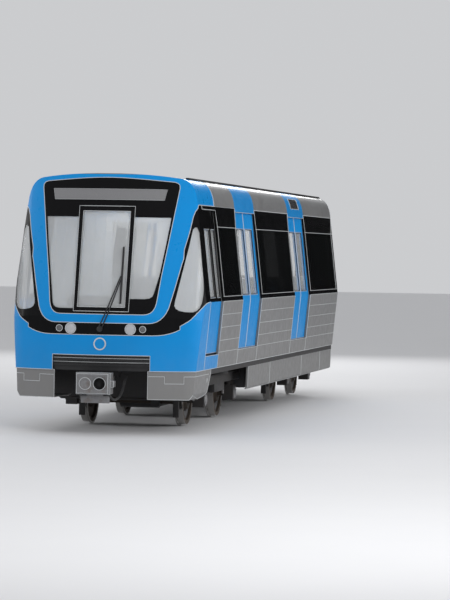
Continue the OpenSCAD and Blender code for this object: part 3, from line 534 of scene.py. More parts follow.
cadFinish = {
    "underframe": "frame", "wall_linings": "laminate", "ceiling": "ceiling", "roof_gutters": "matt",
    "rear_end_wall": "matt", "cab_partition": "laminate", "window_glass": "tinted", "cab_glass": "clear",
    "headlamps": "reflector", "destination_display": "display", "front_grille": "matt", "wiper": "matt",
    "emergency_frame": "gloss", "grab_poles": "steel", "cab_desk": "desk", "equipment_cases": "case",
    "side_skirts": "grey", "front_bumpers": "bumper", "roof_vents": "matt", "front_coupler": "cast",
    "rear_drawbar": "drawbar", "gangway_bellows": "bellows", "passenger_seats": "seatCloth",
    "driver_seat": "driverCloth",
}
for end in ("front", "rear"):
    cadFinish.update({f"{end}_bogie_frame": "bogie", f"{end}_bogie_springs": "bogie", f"{end}_bogie_motors": "motor",
                      f"{end}_wheelset_1": "wheel", f"{end}_wheelset_2": "wheel"})
for node, key in cadFinish.items():
    slots = frame["nodes"][node].material_slots
    for slot in slots:
        slot.material = finish[key]


# ------------------------------------------------ mesh helpers

def newPiece(name, mesh, body, materials=()):
    for material in materials:
        mesh.materials.append(finish[material])
    piece = bpy.data.objects.new(name, mesh)
    bpy.context.scene.collection.objects.link(piece)
    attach(piece, body)
    return piece


def finishMesh(bm, name, smoothAngle=0.6):
    bmesh.ops.recalc_face_normals(bm, faces=bm.faces)
    mesh = bpy.data.meshes.new(name)
    bm.to_mesh(mesh)
    bm.free()
    mesh.shade_smooth()
    mesh.set_sharp_from_angle(angle=smoothAngle)
    return mesh


def mergedCopy(node):
    bm = bmesh.new()
    bm.from_mesh(frame["nodes"][node].data)
    bmesh.ops.remove_doubles(bm, verts=bm.verts, dist=2e-5)
    return bm


def addBox(bm, low, high, bevel=0.0, mat=0, steps=2):
    made = bmesh.ops.create_cube(bm, size=1)["verts"]
    size = Vector(high) - Vector(low)
    middle = (Vector(high) + Vector(low)) / 2
    for v in made:
        v.co = Vector(v.co[i] * size[i] + middle[i] for i in range(3))
    faces = {f for v in made for f in v.link_faces}
    if bevel > 0:
        edges = list({e for f in faces for e in f.edges})
        made = bmesh.ops.bevel(bm, geom=edges, offset=bevel, segments=steps, profile=0.5, affect="EDGES")
        faces = set(made["faces"]) | {f for f in faces if f.is_valid}
        faces |= {f for v in made["verts"] for f in v.link_faces}
    for f in faces:
        f.material_index = mat
    return faces


def addLathe(bm, profile, base, axis, steps=32, mat=0):
    # turns (radius, distance along the axis) rows about the axis from base
    axis = Vector(axis).normalized()
    first = axis.orthogonal().normalized()
    second = axis.cross(first)
    rings = []
    for radius, along in profile:
        middle = Vector(base) + axis * along
        if radius < 1e-6:
            rings.append([bm.verts.new(middle)])
            continue
        rings.append([bm.verts.new(middle + radius * (first * math.cos(a) + second * math.sin(a)))
                      for a in (2 * math.pi * i / steps for i in range(steps))])
    for lower, upper in zip(rings, rings[1:]):
        for i in range(steps):
            j = (i + 1) % steps
            corners = [lower[i % len(lower)], lower[j % len(lower)], upper[j % len(upper)], upper[i % len(upper)]]
            face = bm.faces.new(list(dict.fromkeys(corners)))
            face.material_index = mat
    return rings


def rodProfile(radius, length, edge):
    return [(0, 0), (radius - edge, 0), (radius, edge), (radius, length - edge), (radius - edge, length), (0, length)]


def addRod(bm, start, end, radius, edge=0.002, steps=20, mat=0):
    start, end = Vector(start), Vector(end)
    addLathe(bm, rodProfile(radius, (end - start).length, min(edge, radius / 2)), start, end - start, steps, mat)


def addTube(bm, points, radius, steps=10, mat=0):
    # round pipe through points, closed at both ends
    points = [Vector(p) for p in points]
    up = Vector((0, 0, 1))
    rings = []
    for i, point in enumerate(points):
        way = (points[min(i + 1, len(points) - 1)] - points[max(i - 1, 0)]).normalized()
        across = way.cross(up if abs(way.z) < 0.9 else Vector((0, 1, 0))).normalized()
        over = across.cross(way)
        rings.append([bm.verts.new(point + radius * (across * math.cos(a) + over * math.sin(a)))
                      for a in (2 * math.pi * k / steps for k in range(steps))])
    for lower, upper in zip(rings, rings[1:]):
        for k in range(steps):
            face = bm.faces.new([lower[k], lower[(k + 1) % steps], upper[(k + 1) % steps], upper[k]])
            face.material_index = mat
    for ring in (rings[0], rings[-1]):
        bm.faces.new(ring).material_index = mat


def rounded(points, radius, steps=5):
    # softens the corners of an open path
    points = [Vector(p) for p in points]
    path = [points[0]]
    for before, corner, after in zip(points, points[1:], points[2:]):
        r = min(radius, (before - corner).length / 2, (after - corner).length / 2)
        a = corner + (before - corner).normalized() * r
        b = corner + (after - corner).normalized() * r
        path += [a * (1 - t) ** 2 + corner * 2 * t * (1 - t) + b * t * t for t in (k / steps for k in range(steps + 1))]
    return path + [points[-1]]


# ------------------------------------------------ geometry node trees

def startTree(name, sockets):
    tree = bpy.data.node_groups.new(name, "GeometryNodeTree")
    tree.is_modifier = True
    tree.interface.new_socket("Geometry", in_out="INPUT", socket_type="NodeSocketGeometry")
    for label, kind, value in sockets:
        socket = tree.interface.new_socket(label, in_out="INPUT", socket_type=f"NodeSocket{kind}")
        if value is not None:
            socket.default_value = value
    tree.interface.new_socket("Geometry", in_out="OUTPUT", socket_type="NodeSocketGeometry")
    source = tree.nodes.new("NodeGroupInput")
    return tree, source.outputs


def endTree(tree, source, geometry):
    plain = add(tree, "GeometryNodeRealizeInstances", {0: geometry}).outputs[0]
    painted = add(tree, "GeometryNodeSetMaterial", {"Geometry": plain, "Material": source["Finish"]}).outputs[0]
    add(tree, "NodeGroupOutput", {0: painted})
    return tree


def beadTree():
    # a round bead along every edge of the input
    tree, source = startTree("sealantBead", [("Radius", "Float", 0.005), ("Sides", "Int", 6),
                                             ("Finish", "Material", None)])
    path = add(tree, "GeometryNodeMeshToCurve", {"Mesh": source["Geometry"]}).outputs[0]
    ring = add(tree, "GeometryNodeCurvePrimitiveCircle",
               {"Resolution": source["Sides"], "Radius": source["Radius"]}).outputs[0]
    tube = add(tree, "GeometryNodeCurveToMesh", {"Curve": path, "Profile Curve": ring, "Fill Caps": True}).outputs[0]
    smooth = add(tree, "GeometryNodeSetShadeSmooth", {"Geometry": tube}).outputs[0]
    return endTree(tree, source, smooth)


def boltTree():
    # a hexagon head on a round washer at every input point, facing along the point's "out"
    tree, source = startTree("boltHeads", [("Radius", "Float", 0.01), ("Height", "Float", 0.007),
                                           ("Turn Seed", "Int", 3), ("Finish", "Material", None)])
    head = add(tree, "GeometryNodeMeshCylinder",
               {"Vertices": 6, "Radius": source["Radius"], "Depth": source["Height"]}).outputs[0]
    washerWide = calc3(tree, "MULTIPLY", source["Radius"], 1.45)
    washerThin = calc3(tree, "MULTIPLY", source["Height"], 0.35)
    washer = add(tree, "GeometryNodeMeshCylinder",
                 {"Vertices": 16, "Radius": washerWide, "Depth": washerThin}).outputs[0]
    sunk = add(tree, "GeometryNodeTransform",
               {"Geometry": washer, "Translation": along(tree, calc3(tree, "MULTIPLY", source["Height"], -0.4))})
    both = add(tree, "GeometryNodeJoinGeometry")
    tree.links.new(head, both.inputs[0])
    tree.links.new(sunk.outputs[0], both.inputs[0])
    out = add(tree, "GeometryNodeInputNamedAttribute", {"Name": "out"}, data_type="FLOAT_VECTOR").outputs[0]
    facing = add(tree, "FunctionNodeAlignRotationToVector", {"Vector": out}, axis="Z").outputs[0]
    spin = add(tree, "FunctionNodeRandomValue", {"Seed": source["Turn Seed"]}, data_type="FLOAT")
    spin.inputs[3].default_value = 1.0
    turn = add(tree, "FunctionNodeAxisAngleToRotation", {"Angle": spin.outputs[1]}).outputs[0]
    turned = add(tree, "FunctionNodeRotateRotation", {0: facing, 1: turn}, rotation_space="LOCAL").outputs[0]
    heads = add(tree, "GeometryNodeInstanceOnPoints",
                {"Points": source["Geometry"], "Instance": both.outputs[0], "Rotation": turned}).outputs[0]
    return endTree(tree, source, heads)


def calc3(tree, operation, a, b):
    return add(tree, "ShaderNodeMath", {0: a, 1: b}, operation=operation).outputs[0]


def along(tree, value, axis=2):
    node = add(tree, "ShaderNodeCombineXYZ")
    tree.links.new(value, node.inputs[axis])
    return node.outputs[0]


def slatTree():
    # a slanted slat on every input point, lying along the point's "out"
    tree, source = startTree("louvreSlats", [("Length", "Float", 0.3), ("Depth", "Float", 0.03),
                                             ("Thickness", "Float", 0.003), ("Slant", "Float", 0.7),
                                             ("Finish", "Material", None)])
    size = add(tree, "ShaderNodeCombineXYZ",
               {0: source["Length"], 1: source["Depth"], 2: source["Thickness"]}).outputs[0]
    slat = add(tree, "GeometryNodeMeshCube", {"Size": size}).outputs[0]
    tilt = along(tree, source["Slant"], 0)
    leaning = add(tree, "GeometryNodeTransform", {"Geometry": slat, "Rotation": tilt}).outputs[0]
    out = add(tree, "GeometryNodeInputNamedAttribute", {"Name": "out"}, data_type="FLOAT_VECTOR").outputs[0]
    facing = add(tree, "FunctionNodeAlignRotationToVector", {"Vector": out}, axis="X").outputs[0]
    rows = add(tree, "GeometryNodeInstanceOnPoints",
               {"Points": source["Geometry"], "Instance": leaning, "Rotation": facing}).outputs[0]
    return endTree(tree, source, rows)


def coilTree():
    # a round-wire spring standing on every input point
    tree, source = startTree("coilSprings", [("Turns", "Float", 5.0), ("Height", "Float", 0.1),
                                             ("Radius", "Float", 0.045), ("Wire", "Float", 0.008),
                                             ("Finish", "Material", None)])
    path = add(tree, "GeometryNodeCurveSpiral",
               {"Resolution": 18, "Rotations": source["Turns"], "Start Radius": source["Radius"],
                "End Radius": source["Radius"], "Height": source["Height"]}).outputs[0]
    ring = add(tree, "GeometryNodeCurvePrimitiveCircle", {"Resolution": 8, "Radius": source["Wire"]}).outputs[0]
    wire = add(tree, "GeometryNodeCurveToMesh", {"Curve": path, "Profile Curve": ring, "Fill Caps": True}).outputs[0]
    smooth = add(tree, "GeometryNodeSetShadeSmooth", {"Geometry": wire}).outputs[0]
    rows = add(tree, "GeometryNodeInstanceOnPoints", {"Points": source["Geometry"], "Instance": smooth}).outputs[0]
    return endTree(tree, source, rows)


def growPiece(name, tree, sourceMesh, inputs, body, material):
    # runs a tree on a source mesh and keeps the result as a plain piece
    carrier = bpy.data.objects.new(name + "Source", sourceMesh)
    bpy.context.scene.collection.objects.link(carrier)
    carrier.modifiers.new("grow", "NODES").node_group = tree
    modifier = carrier.modifiers["grow"]
    wanted = {**inputs, "Finish": finish[material]}
    for socket in tree.interface.items_tree:
        if socket.item_type == "SOCKET" and socket.in_out == "INPUT" and socket.name in wanted:
            modifier[socket.identifier] = wanted[socket.name]
    view = bpy.context.evaluated_depsgraph_get()
    mesh = bpy.data.meshes.new_from_object(carrier.evaluated_get(view))
    bpy.data.objects.remove(carrier)
    mesh.name = name
    if not mesh.materials:
        mesh.materials.append(finish[material])
    return newPiece(name, mesh, body)


def pointMesh(name, rows):
    # points with the direction that each one faces
    mesh = bpy.data.meshes.new(name)
    mesh.from_pydata([tuple(p) for p, out in rows], [], [])
    mesh.attributes.new("out", "FLOAT_VECTOR", "POINT").data.foreach_set(
        "vector", [c for p, out in rows for c in out])
    return mesh


def edgeMesh(name, paths):
    # open or closed polylines as bare edges
    verts, edges = [], []
    for path in paths:
        start = len(verts)
        closed = (Vector(path[0]) - Vector(path[-1])).length < 1e-6
        verts += [tuple(p) for p in (path[:-1] if closed else path)]
        count = len(verts) - start
        edges += [(start + i, start + i + 1) for i in range(count - 1)]
        if closed:
            edges.append((start + count - 1, start))
    mesh = bpy.data.meshes.new(name)
    mesh.from_pydata(verts, edges, [])
    return mesh


beads, bolts, slats, coils = beadTree(), boltTree(), slatTree(), coilTree()


# ------------------------------------------------ outer skin, with true curved normals

skinPieces = {
    "cab_shell": ("cabShell", "blue_paint", "cabShell"),
    "front_apron": ("frontApron", "blue_paint", "blue"),
    "lamp_band": ("lampBand", "black_paint", "gloss"),
    "windscreen_surround": ("windscreenSurround", "black_paint", "gloss"),
    "side_panels": ("sidePanels", "grey_paint", "grey"),
    "window_bands": ("windowBands", "black_paint", "gloss"),
    "roof": ("roofShell", "grey_paint", "roof"),
}
rimPaths = []


def skinPiece(node, name, material):
    bm = mergedCopy(node)
    outside = {}
    for face in bm.faces:
        found = [skinNormal(loop.vert.co, face.normal) for loop in face.loops]
        if all(found):
            outside[face.index] = found
    for edge in bm.edges:
        marks = [f.index in outside for f in edge.link_faces]
        if len(marks) == 2 and marks[0] != marks[1]:
            rimPaths.append((node, [v.co.copy() for v in edge.verts]))
    mesh = bpy.data.meshes.new(name)
    bm.to_mesh(mesh)
    normals = []
    for face in mesh.polygons:
        rows = outside.get(face.index) or [face.normal] * face.loop_total
        normals += [tuple(row) for row in rows]
    bm.free()
    mesh.shade_smooth()
    mesh.normals_split_custom_set(normals)
    piece = newPiece(name, mesh, "carbody", [material])
    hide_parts(node)
    return piece


for node, (name, slot, material) in skinPieces.items():
    skinPiece(node, name, material)
print("outer skin done, rim edges:", len(rimPaths))


def joinRims(wanted):
    # rim edges of some nodes as one mesh of bare edges
    bm = bmesh.new()
    for node, (a, b) in rimPaths:
        if wanted(node, (a + b) / 2):
            bm.edges.new((bm.verts.new(a), bm.verts.new(b)))
    bmesh.ops.remove_doubles(bm, verts=bm.verts, dist=1e-4)
    mesh = bpy.data.meshes.new("rims")
    bm.to_mesh(mesh)
    bm.free()
    return mesh


seamNodes = ("cab_shell", "front_apron", "side_panels", "window_bands", "roof")
seam = {"radius": 0.0055}


def isSeam(node, point):
    return node in seamNodes


growPiece("sealantSeams", beads, joinRims(isSeam), {"Radius": seam["radius"], "Sides": 6},
          "carbody", "pale")


# ------------------------------------------------ shared helpers for the fittings

def islands(bm):
    # connected groups of points, each with its corners
    left, groups = set(bm.verts), []
    while left:
        seed = left.pop()
        group, edge = {seed}, [seed]
        while edge:
            point = edge.pop()
            for link in point.link_edges:
                other = link.other_vert(point)
                if other in left:
                    left.remove(other)
                    group.add(other)
                    edge.append(other)
        rows = [v.co for v in group]
        low = Vector(min(p[i] for p in rows) for i in range(3))
        high = Vector(max(p[i] for p in rows) for i in range(3))
        groups.append((group, low, high))
    return sorted(groups, key=lambda g: tuple(round(c, 4) for c in (*g[1], *g[2])))


def islandBoxes(node):
    bm = mergedCopy(node)
    boxes = [(low, high) for group, low, high in islands(bm)]
    bm.free()
    return boxes


def rimsOf(node, faces):
    # edges where the chosen faces of a node end
    bm = mergedCopy(node)
    chosen = {f.index for f in bm.faces if faces(f)}
    paths = []
    for edge in bm.edges:
        marks = [f.index in chosen for f in edge.link_faces]
        if len(marks) == 2 and marks[0] != marks[1]:
            paths.append([v.co.copy() for v in edge.verts])
    bm.free()
    return paths


def lines(name, paths, radius, body, slot, material="pale", sides=6):
    mesh = edgeMesh(name, paths)
    bm = bmesh.new()
    bm.from_mesh(mesh)
    bmesh.ops.remove_doubles(bm, verts=bm.verts, dist=1e-4)
    bm.to_mesh(mesh)
    bm.free()
    return growPiece(name, beads, mesh, {"Radius": radius, "Sides": sides}, body, material)


def hitTree(*nodes):
    verts, faces = [], []
    for node in nodes:
        mesh = frame["nodes"][node].data
        start = len(verts)
        verts += [v.co.copy() for v in mesh.vertices]
        faces += [[start + i for i in face.vertices] for face in mesh.polygons]
    return BVHTree.FromPolygons(verts, faces)


def bevelled(node, name, body, materials, offset, choose=None):
    # the node's own shape with its sharp edges broken
    bm = mergedCopy(node)
    if choose:
        for face in bm.faces:
            face.material_index = choose(face)
    sharp = [e for e in bm.edges if len(e.link_faces) == 2 and e.calc_face_angle(0) > 0.6
             and e.calc_length() > offset * 3]
    bmesh.ops.bevel(bm, geom=sharp, offset=offset, segments=2, profile=0.5, affect="EDGES", clamp_overlap=True)
    piece = newPiece(name, finishMesh(bm, name), body, materials)
    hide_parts(node)
    return piece


# ------------------------------------------------ doors

door = {"inset": 0.04, "bead": 0.0045, "seal": 0.007, "edge": 0.006}


def leafOutline(low, high, inside):
    # closed path on the outer face of a leaf, bent at the waist
    side = 1 if high.y > 0 else -1
    x0, x1, z0, z1 = low.x + inside, high.x - inside, low.z + inside, high.z - inside
    levels = [z0] + ([waistZ] if z0 < waistZ < z1 else []) + [z1]
    up = [(x0, side * (sideY(z) - door["inset"] + 0.001), z) for z in levels]
    down = [(x1, y, z) for x, y, z in reversed(up)]
    return [*up, *down, up[0]]


def makeDoor(node):
    bm = mergedCopy(node)
    panes, leaf = [], None
    for group, low, high in islands(bm):
        if high.z - low.z < 1.6:
            panes.append((low, high))
            for f in {f for v in group for f in v.link_faces}:
                f.material_index = 1
        else:
            leaf = (low, high)
            if "cab" in node:
                for f in {f for v in group for f in v.link_faces}:
                    f.material_index = 2 if f.calc_center_median().z > waistZ else 0
    sharp = [e for e in bm.edges if len(e.link_faces) == 2 and e.calc_face_angle(0) > 0.6
             and e.link_faces[0].material_index != 1]
    bmesh.ops.bevel(bm, geom=sharp, offset=0.002, segments=2, profile=0.5, affect="EDGES", clamp_overlap=True)
    name = node.title().replace("_", "") + "Leaf"
    piece = newPiece(name, finishMesh(bm, name, 0.35), node, ["doorBlue", "clear", "gloss"])
    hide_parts(node)
    low, high = leaf
    high = Vector((high.x, high.y, min(high.z, bandZ - 0.02)))
    outline = [leafOutline(low, high, door["edge"])]
    windows = [leafOutline(a, b, -0.006) for a, b in panes]
    lines(node.title().replace("_", "") + "Trim", outline + windows, door["bead"], node, "grey_paint")
    seals = [leafOutline(a, b, 0.006) for a, b in panes]
    lines(node.title().replace("_", "") + "Seals", seals, door["seal"], node, "bellows_rubber", "rubber", 8)


for node in [n for n in frame["nodes"] if "door" in n]:
    makeDoor(node)
print("doors done")


# ------------------------------------------------ lines on the sides

sideLines = {
    "grooves": (1.168, 1.348, 1.548, 1.744),
    "band": (2.018, 3.075),
    "radius": 0.0042,
    "cabLine": (5.07, 6.12, 1.137),
}


def sidePath(side, x0, x1, z):
    return [(x0, side * (sideY(z) + 0.0005), z), (x1, side * (sideY(z) + 0.0005), z)]


def makeSideLines():
    paths = []
    for low, high in islandBoxes("window_bands"):
        if high.z - low.z < 1:
            continue
        side = 1 if high.y > 0 else -1
        for z in sideLines["grooves"] + sideLines["band"]:
            paths.append(sidePath(side, low.x + 0.01, min(high.x, 5.05) - 0.01, z))
    for low, high in islandBoxes("window_glass"):
        side = 1 if high.y > 0 else -1
        z0, z1 = sideLines["band"]
        for x in (low.x, high.x):
            paths.append([(x, side * (sideY(z) + 0.0005), z) for z in (z0, z1)])
    for side in (-1, 1):
        paths.append(sidePath(side, *sideLines["cabLine"]))
    paths += rimsOf("side_skirts", lambda f: f.normal.y * f.calc_center_median().y > 0.5)
    paths += rimsOf("roof_vents", lambda f: f.normal.y * f.calc_center_median().y > 0.3)
    lines("sidePinstripes", paths, sideLines["radius"], "carbody", "grey_paint")


makeSideLines()


# ------------------------------------------------ front end

front = {
    "line": 0.0045,
    "lampZ": 1.545,
    "lamps": ((0.447, 0.082, 7.103), (0.624, 0.05, 7.071)),   # offset, radius, foremost x
    "cover": (1.325, 0.094),
    "grille": (1.055, 1.112),
    "bumperLine": (0.859, 0.755, 0.93, 1.2),                  # level, notch level, notch from and to
}
faceTree = hitTree("front_apron", "lamp_band", "windscreen_surround", "cab_shell", "front_grille", "cab_glass")
bumperTree = hitTree("front_bumpers")
noseRows = planRows[:-1] + [(planRows[-2][0] + 0.1 * i, planRows[-1][1], 0, 1) for i in range(1, 18)]


def onFace(y, z, out=0.001):
    found = faceTree.ray_cast(Vector((noseX + 1, y, z)), Vector((-1, 0, 0)))
    return found[0] + found[1] * out


def ringPath(base, radius, steps=48):
    return [(base[0], base[1] + radius * math.cos(a), base[2] + radius * math.sin(a))
            for a in (2 * math.pi * i / steps for i in range(steps))] + [(base[0], base[1] + radius, base[2])]


def makeLamps():
    bodies, lenses, rims = bmesh.new(), bmesh.new(), []
    for side in (-1, 1):
        for offset, r, tip in front["lamps"]:
            base = (tip - 0.06, side * offset, front["lampZ"])
            addLathe(bodies, [(0, 0), (r, 0), (r, 0.058), (r - 0.002, 0.06), (r - 0.007, 0.06), (r - 0.009, 0.055),
                              (r * 0.78, 0.036), (r * 0.5, 0.022), (r * 0.2, 0.015), (0, 0.014)], base, (1, 0, 0), 48)
            addLathe(lenses, [(0, 0.052), (r * 0.6, 0.051), (r - 0.0092, 0.048), (r - 0.0086, 0.05),
                              (r - 0.0088, 0.053), (r * 0.6, 0.057), (0, 0.0585)], base, (1, 0, 0), 48,
                     0 if r > 0.06 else 1)
            addLathe(bodies, [(0, 0.016), (r * 0.16, 0.017), (r * 0.18, 0.03), (r * 0.1, 0.04), (0, 0.043)],
                     base, (1, 0, 0), 24, 1)
            rims.append(ringPath((tip, side * offset, front["lampZ"]), r - 0.003))
    piece = newPiece("lampReflectors", finishMesh(bodies, "lampReflectors"), "carbody",
                     ["reflector", "lens"])
    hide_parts("headlamps")
    newPiece("lampLenses", finishMesh(lenses, "lampLenses"), "carbody", ["lens", "dimLens"])
    return rims


def makeCover():
    z, r = front["cover"]
    x = onFace(0, z).x
    bm = bmesh.new()
    addLathe(bm, [(0, -0.01), (r * 0.9, -0.01), (r * 0.9, 0.003), (0, 0.003)], (x, 0, z), (1, 0, 0), 64)
    addLathe(bm, [(r * 0.8, 0), (r * 0.8, 0.005), (r * 0.84, 0.008), (r * 0.98, 0.008), (r, 0.005), (r, -0.004)],
             (x, 0, z), (1, 0, 0), 64, 1)
    newPiece("roundCover", finishMesh(bm, "roundCover"), "carbody", ["blue", "pale"])


def bumperPaths(side):
    level, notch, start, end = front["bumperLine"]
    path, last = [], None
    for behind, y, forward, across in noseRows:
        if behind > 1.62:
            break
        here = notch if start < y < end and behind < 0.75 else level
        for z in ((last, here) if last not in (None, here) else (here,)):
            origin = Vector((noseX - behind + forward * 0.4, side * (y + across * 0.4), z))
            found = bumperTree.ray_cast(origin, Vector((-forward, -side * across, 0)), 0.8)
            if found[0]:
                path.append(found[0] + found[1] * 0.001)
        last = here
    return path


def makeFrontLines():
    makeCover()
    paths = makeLamps()
    for z in front["grille"]:
        paths.append([onFace(0.72 * i / 12, z) for i in range(-12, 13)])
    for side in (-1, 1):
        paths.append(bumperPaths(side))
        for x in (5.72, 5.78):
            top, low = sideY(0.9) - 0.012, sideY(0.9) - 0.035
            paths.append([(x, side * top, 0.8), (x, side * low, 0.68)])
    for node in ("destination_display", "emergency_frame"):
        paths += rimsOf(node, lambda f: f.normal.x > 0.4)
    lines("frontPinstripes", [p for p in paths if len(p) > 1], front["line"], "carbody", "grey_paint")


def outwardBumper(face):
    middle = face.calc_center_median()
    away = Vector((middle.x - (noseX - 2.6), middle.y, 0)).normalized()
    return face.normal.dot(away) > 0.45


lines("bumperEdges", rimsOf("front_bumpers", outwardBumper), front["line"], "carbody", "bumper_paint")
makeFrontLines()


def makeWiperDetail():
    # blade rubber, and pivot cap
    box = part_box("wiper")
    bm = bmesh.new()
    blade = [onFace(0.29, z, 0.006) for z in (1.93, 2.1, 2.3, 2.5, 2.68)]
    addTube(bm, blade, 0.005, 6)
    cap = Vector((box[0].x + 0.25, 0, 1.543))
    cap.x = onFace(0, 1.543).x + 0.038
    addLathe(bm, [(0, 0), (0.036, 0), (0.036, 0.006), (0.03, 0.012), (0, 0.013)], cap, (1, 0, 0), 32)
    newPiece("wiperRubber", finishMesh(bm, "wiperRubber"), "carbody", ["rubber"])


makeWiperDetail()

couplerSpot = Vector((0, 0, 0.763))
cup = {"y": 0.105, "radius": 0.0905}


# faces in the hollow of the coupler's cup get the matt black finish: painted shade in the recess
def cupShadeFaces(face):
    middle = face.calc_center_median()
    inside = math.hypot(middle.y - cup["y"], middle.z - couplerSpot.z) < cup["radius"]
    return 1 if inside and middle.x < 7.574 and middle.x > 7.4 else 0


def makeCoupler():
    # the cup's hollow takes the second, matt black finish as painted shade
    bevelled("front_coupler", "couplerHead", "coupler", ["cast", "matt"], 0.006, cupShadeFaces)
    bm = bmesh.new()
    x = 7.574
    addLathe(bm, [(0.052, 0), (0.09, 0), (0.09, 0.004), (0.084, 0.008), (0.06, 0.008), (0.052, 0.002), (0.04, -0.0),
                  (0, 0.0)], (x, -cup["y"], couplerSpot.z), (1, 0, 0), 48)
    for side in (-1, 1):
        hose = rounded([(7.44, side * 0.2, 0.62), (7.2, side * 0.24, 0.5), (7.0, side * 0.3, 0.56),
                        (6.84, side * 0.34, 0.86)], 0.12, 8)
        addTube(bm, hose, 0.018, 12, 1)
    newPiece("couplerFittings", finishMesh(bm, "couplerFittings"), "coupler", ["cast", "rubber"])
    edges = rimsOf("front_coupler", lambda f: f.normal.x > 0.9 and f.calc_center_median().x > noseX + 0.3)
    edges.append(ringPath((x + 0.008, -cup["y"], couplerSpot.z), 0.086))
    lines("couplerEdges", edges, front["line"], "coupler", "coupler_cast")
    spots = [(Vector((x + 0.001, y, couplerSpot.z + z)), (1, 0, 0)) for y in (-0.205, 0, 0.205) for z in (-0.115, 0.115)]
    growPiece("couplerBolts", bolts, pointMesh("couplerSpots", spots), {"Radius": 0.011, "Height": 0.008, "Turn Seed": 5},
              "coupler", "cast")


makeCoupler()
print("front end done")


# ------------------------------------------------ roof and rear end

roofTree = hitTree("roof", "cab_shell")
roofing = {"step": 1.16, "radius": 0.004, "slats": 6}


def makeRoofSeams():
    paths = []
    count = int((5.9 - rearX) / roofing["step"])
    for i in range(1, count + 1):
        x = rearX + roofing["step"] * i
        path = []
        for y, z, ny, nz in sectionRows[82:]:
            if y < halfWidth - 0.42 and len(sectionRows) > 82:
                path.append((x, y, z + 0.0005))
        paths.append([(a, -b, c) for a, b, c in path[:-1]] + path[::-1])
    lines("roofSeams", paths, roofing["radius"], "carbody", "grey_paint", "roof")


def makeVentSlats():
    low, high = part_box("roof_vents")
    tree, rows = hitTree("roof_vents"), []
    for side in (-1, 1):
        for i in range(roofing["slats"]):
            z = low.z + 0.02 + (high.z - low.z - 0.04) * i / (roofing["slats"] - 1)
            found = tree.ray_cast(Vector(((low.x + high.x) / 2, side * 2, z)), Vector((0, -side, 0)))
            if found[0]:
                rows.append((found[0], (side, 0, 0)))
    growPiece("ventSlats", slats, pointMesh("ventRows", rows),
              {"Length": high.x - low.x - 0.04, "Depth": 0.018, "Thickness": 0.003, "Slant": 0.6},
              "carbody", "matt")


bellowsShape = {"folds": 9, "out": 0.73, "depth": 0.05, "wall": 0.11, "corner": 0.14}


def loopPoints(half, low, high, corner, steps=8):
    # rounded rectangle seen along the car
    points = []
    for cy, cz, start in ((half - corner, high - corner, 0), (corner - half, high - corner, 90),
                          (corner - half, low + corner, 180), (half - corner, low + corner, 270)):
        for i in range(steps + 1):
            a = math.radians(start + 90 * i / steps)
            points.append((cy + corner * math.cos(a), cz + corner * math.sin(a)))
    return points


def makeBellows():
    low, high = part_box("gangway_bellows")
    wall, depth, out = bellowsShape["wall"], bellowsShape["depth"], bellowsShape["out"]
    bm, rows = bmesh.new(), []
    count = bellowsShape["folds"] * 6
    for inner in (False, True):
        ring = []
        for i in range(count + 1):
            x = low.x + (high.x - low.x) * i / count
            dip = depth * (0.5 - 0.5 * math.cos(2 * math.pi * i / 6)) ** 1.4
            inset = wall - 0.008 - depth + dip * 0.9 if inner else dip
            loop = loopPoints(out - inset, low.z + inset, high.z - inset, bellowsShape["corner"])
            ring.append([bm.verts.new((x, y, z)) for y, z in loop])
        rows.append(ring)
        for a, b in zip(ring, ring[1:]):
            for k in range(len(a)):
                bm.faces.new([a[k], a[(k + 1) % len(a)], b[(k + 1) % len(a)], b[k]])
    for end in (0, -1):
        a, b = rows[0][end], rows[1][end]
        for k in range(len(a)):
            bm.faces.new([a[k], a[(k + 1) % len(a)], b[(k + 1) % len(a)], b[k]])
    piece = newPiece("bellowsFolds", finishMesh(bm, "bellowsFolds", 1.2), "carbody", ["bellows"])
    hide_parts("gangway_bellows")
    frameLine = []
    for x in (low.x + 0.004, high.x - 0.004):
        loop = loopPoints(out - 0.012, low.z + 0.012, high.z - 0.012, bellowsShape["corner"])
        frameLine.append([(x, y, z) for y, z in loop] + [(x, *loop[0])])
    lines("bellowsFrames", frameLine, 0.012, "carbody", "pole_steel", "steel", 10)


def makeRearEnd():
    # tail lamps, grab rails and cable sockets on the end wall
    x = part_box("rear_end_wall")[0].x
    bm = bmesh.new()
    for side in (-1, 1):
        addLathe(bm, [(0.0, 0.0), (0.05, 0.0), (0.05, 0.012), (0.044, 0.02), (0.02, 0.026), (0, 0.027)],
                 (x, side * 1.2, 1.62), (-1, 0, 0), 32, 0)
        rail = rounded([(x, side * 0.9, 1.4), (x - 0.05, side * 0.9, 1.4), (x - 0.05, side * 0.9, 2.3),
                        (x, side * 0.9, 2.3)], 0.05)
        addTube(bm, rail, 0.012, 12, 1)
        for z in (1.2, 1.36):
            addBox(bm, (x - 0.06, side * 1.16 - 0.06, z), (x, side * 1.16 + 0.06, z + 0.12), 0.01, 2)
    newPiece("rearFittings", finishMesh(bm, "rearFittings"), "carbody", ["redLens", "steel", "matt"])
    bevelled("rear_drawbar", "drawbarShank", "drawbar", ["drawbar"], 0.003)


makeRoofSeams()
makeVentSlats()
makeBellows()
makeRearEnd()
print("roof and rear end done")


# ------------------------------------------------ running gear and underside

gear = {
    "boxY": 1.0, "boxHalf": 0.09, "springGap": 0.07, "springZ": (0.538, 0.618), "airY": 0.97, "airZ": (0.768, 0.933),
    "discIn": 0.7555, "discRadius": (0.185, 0.31),
}


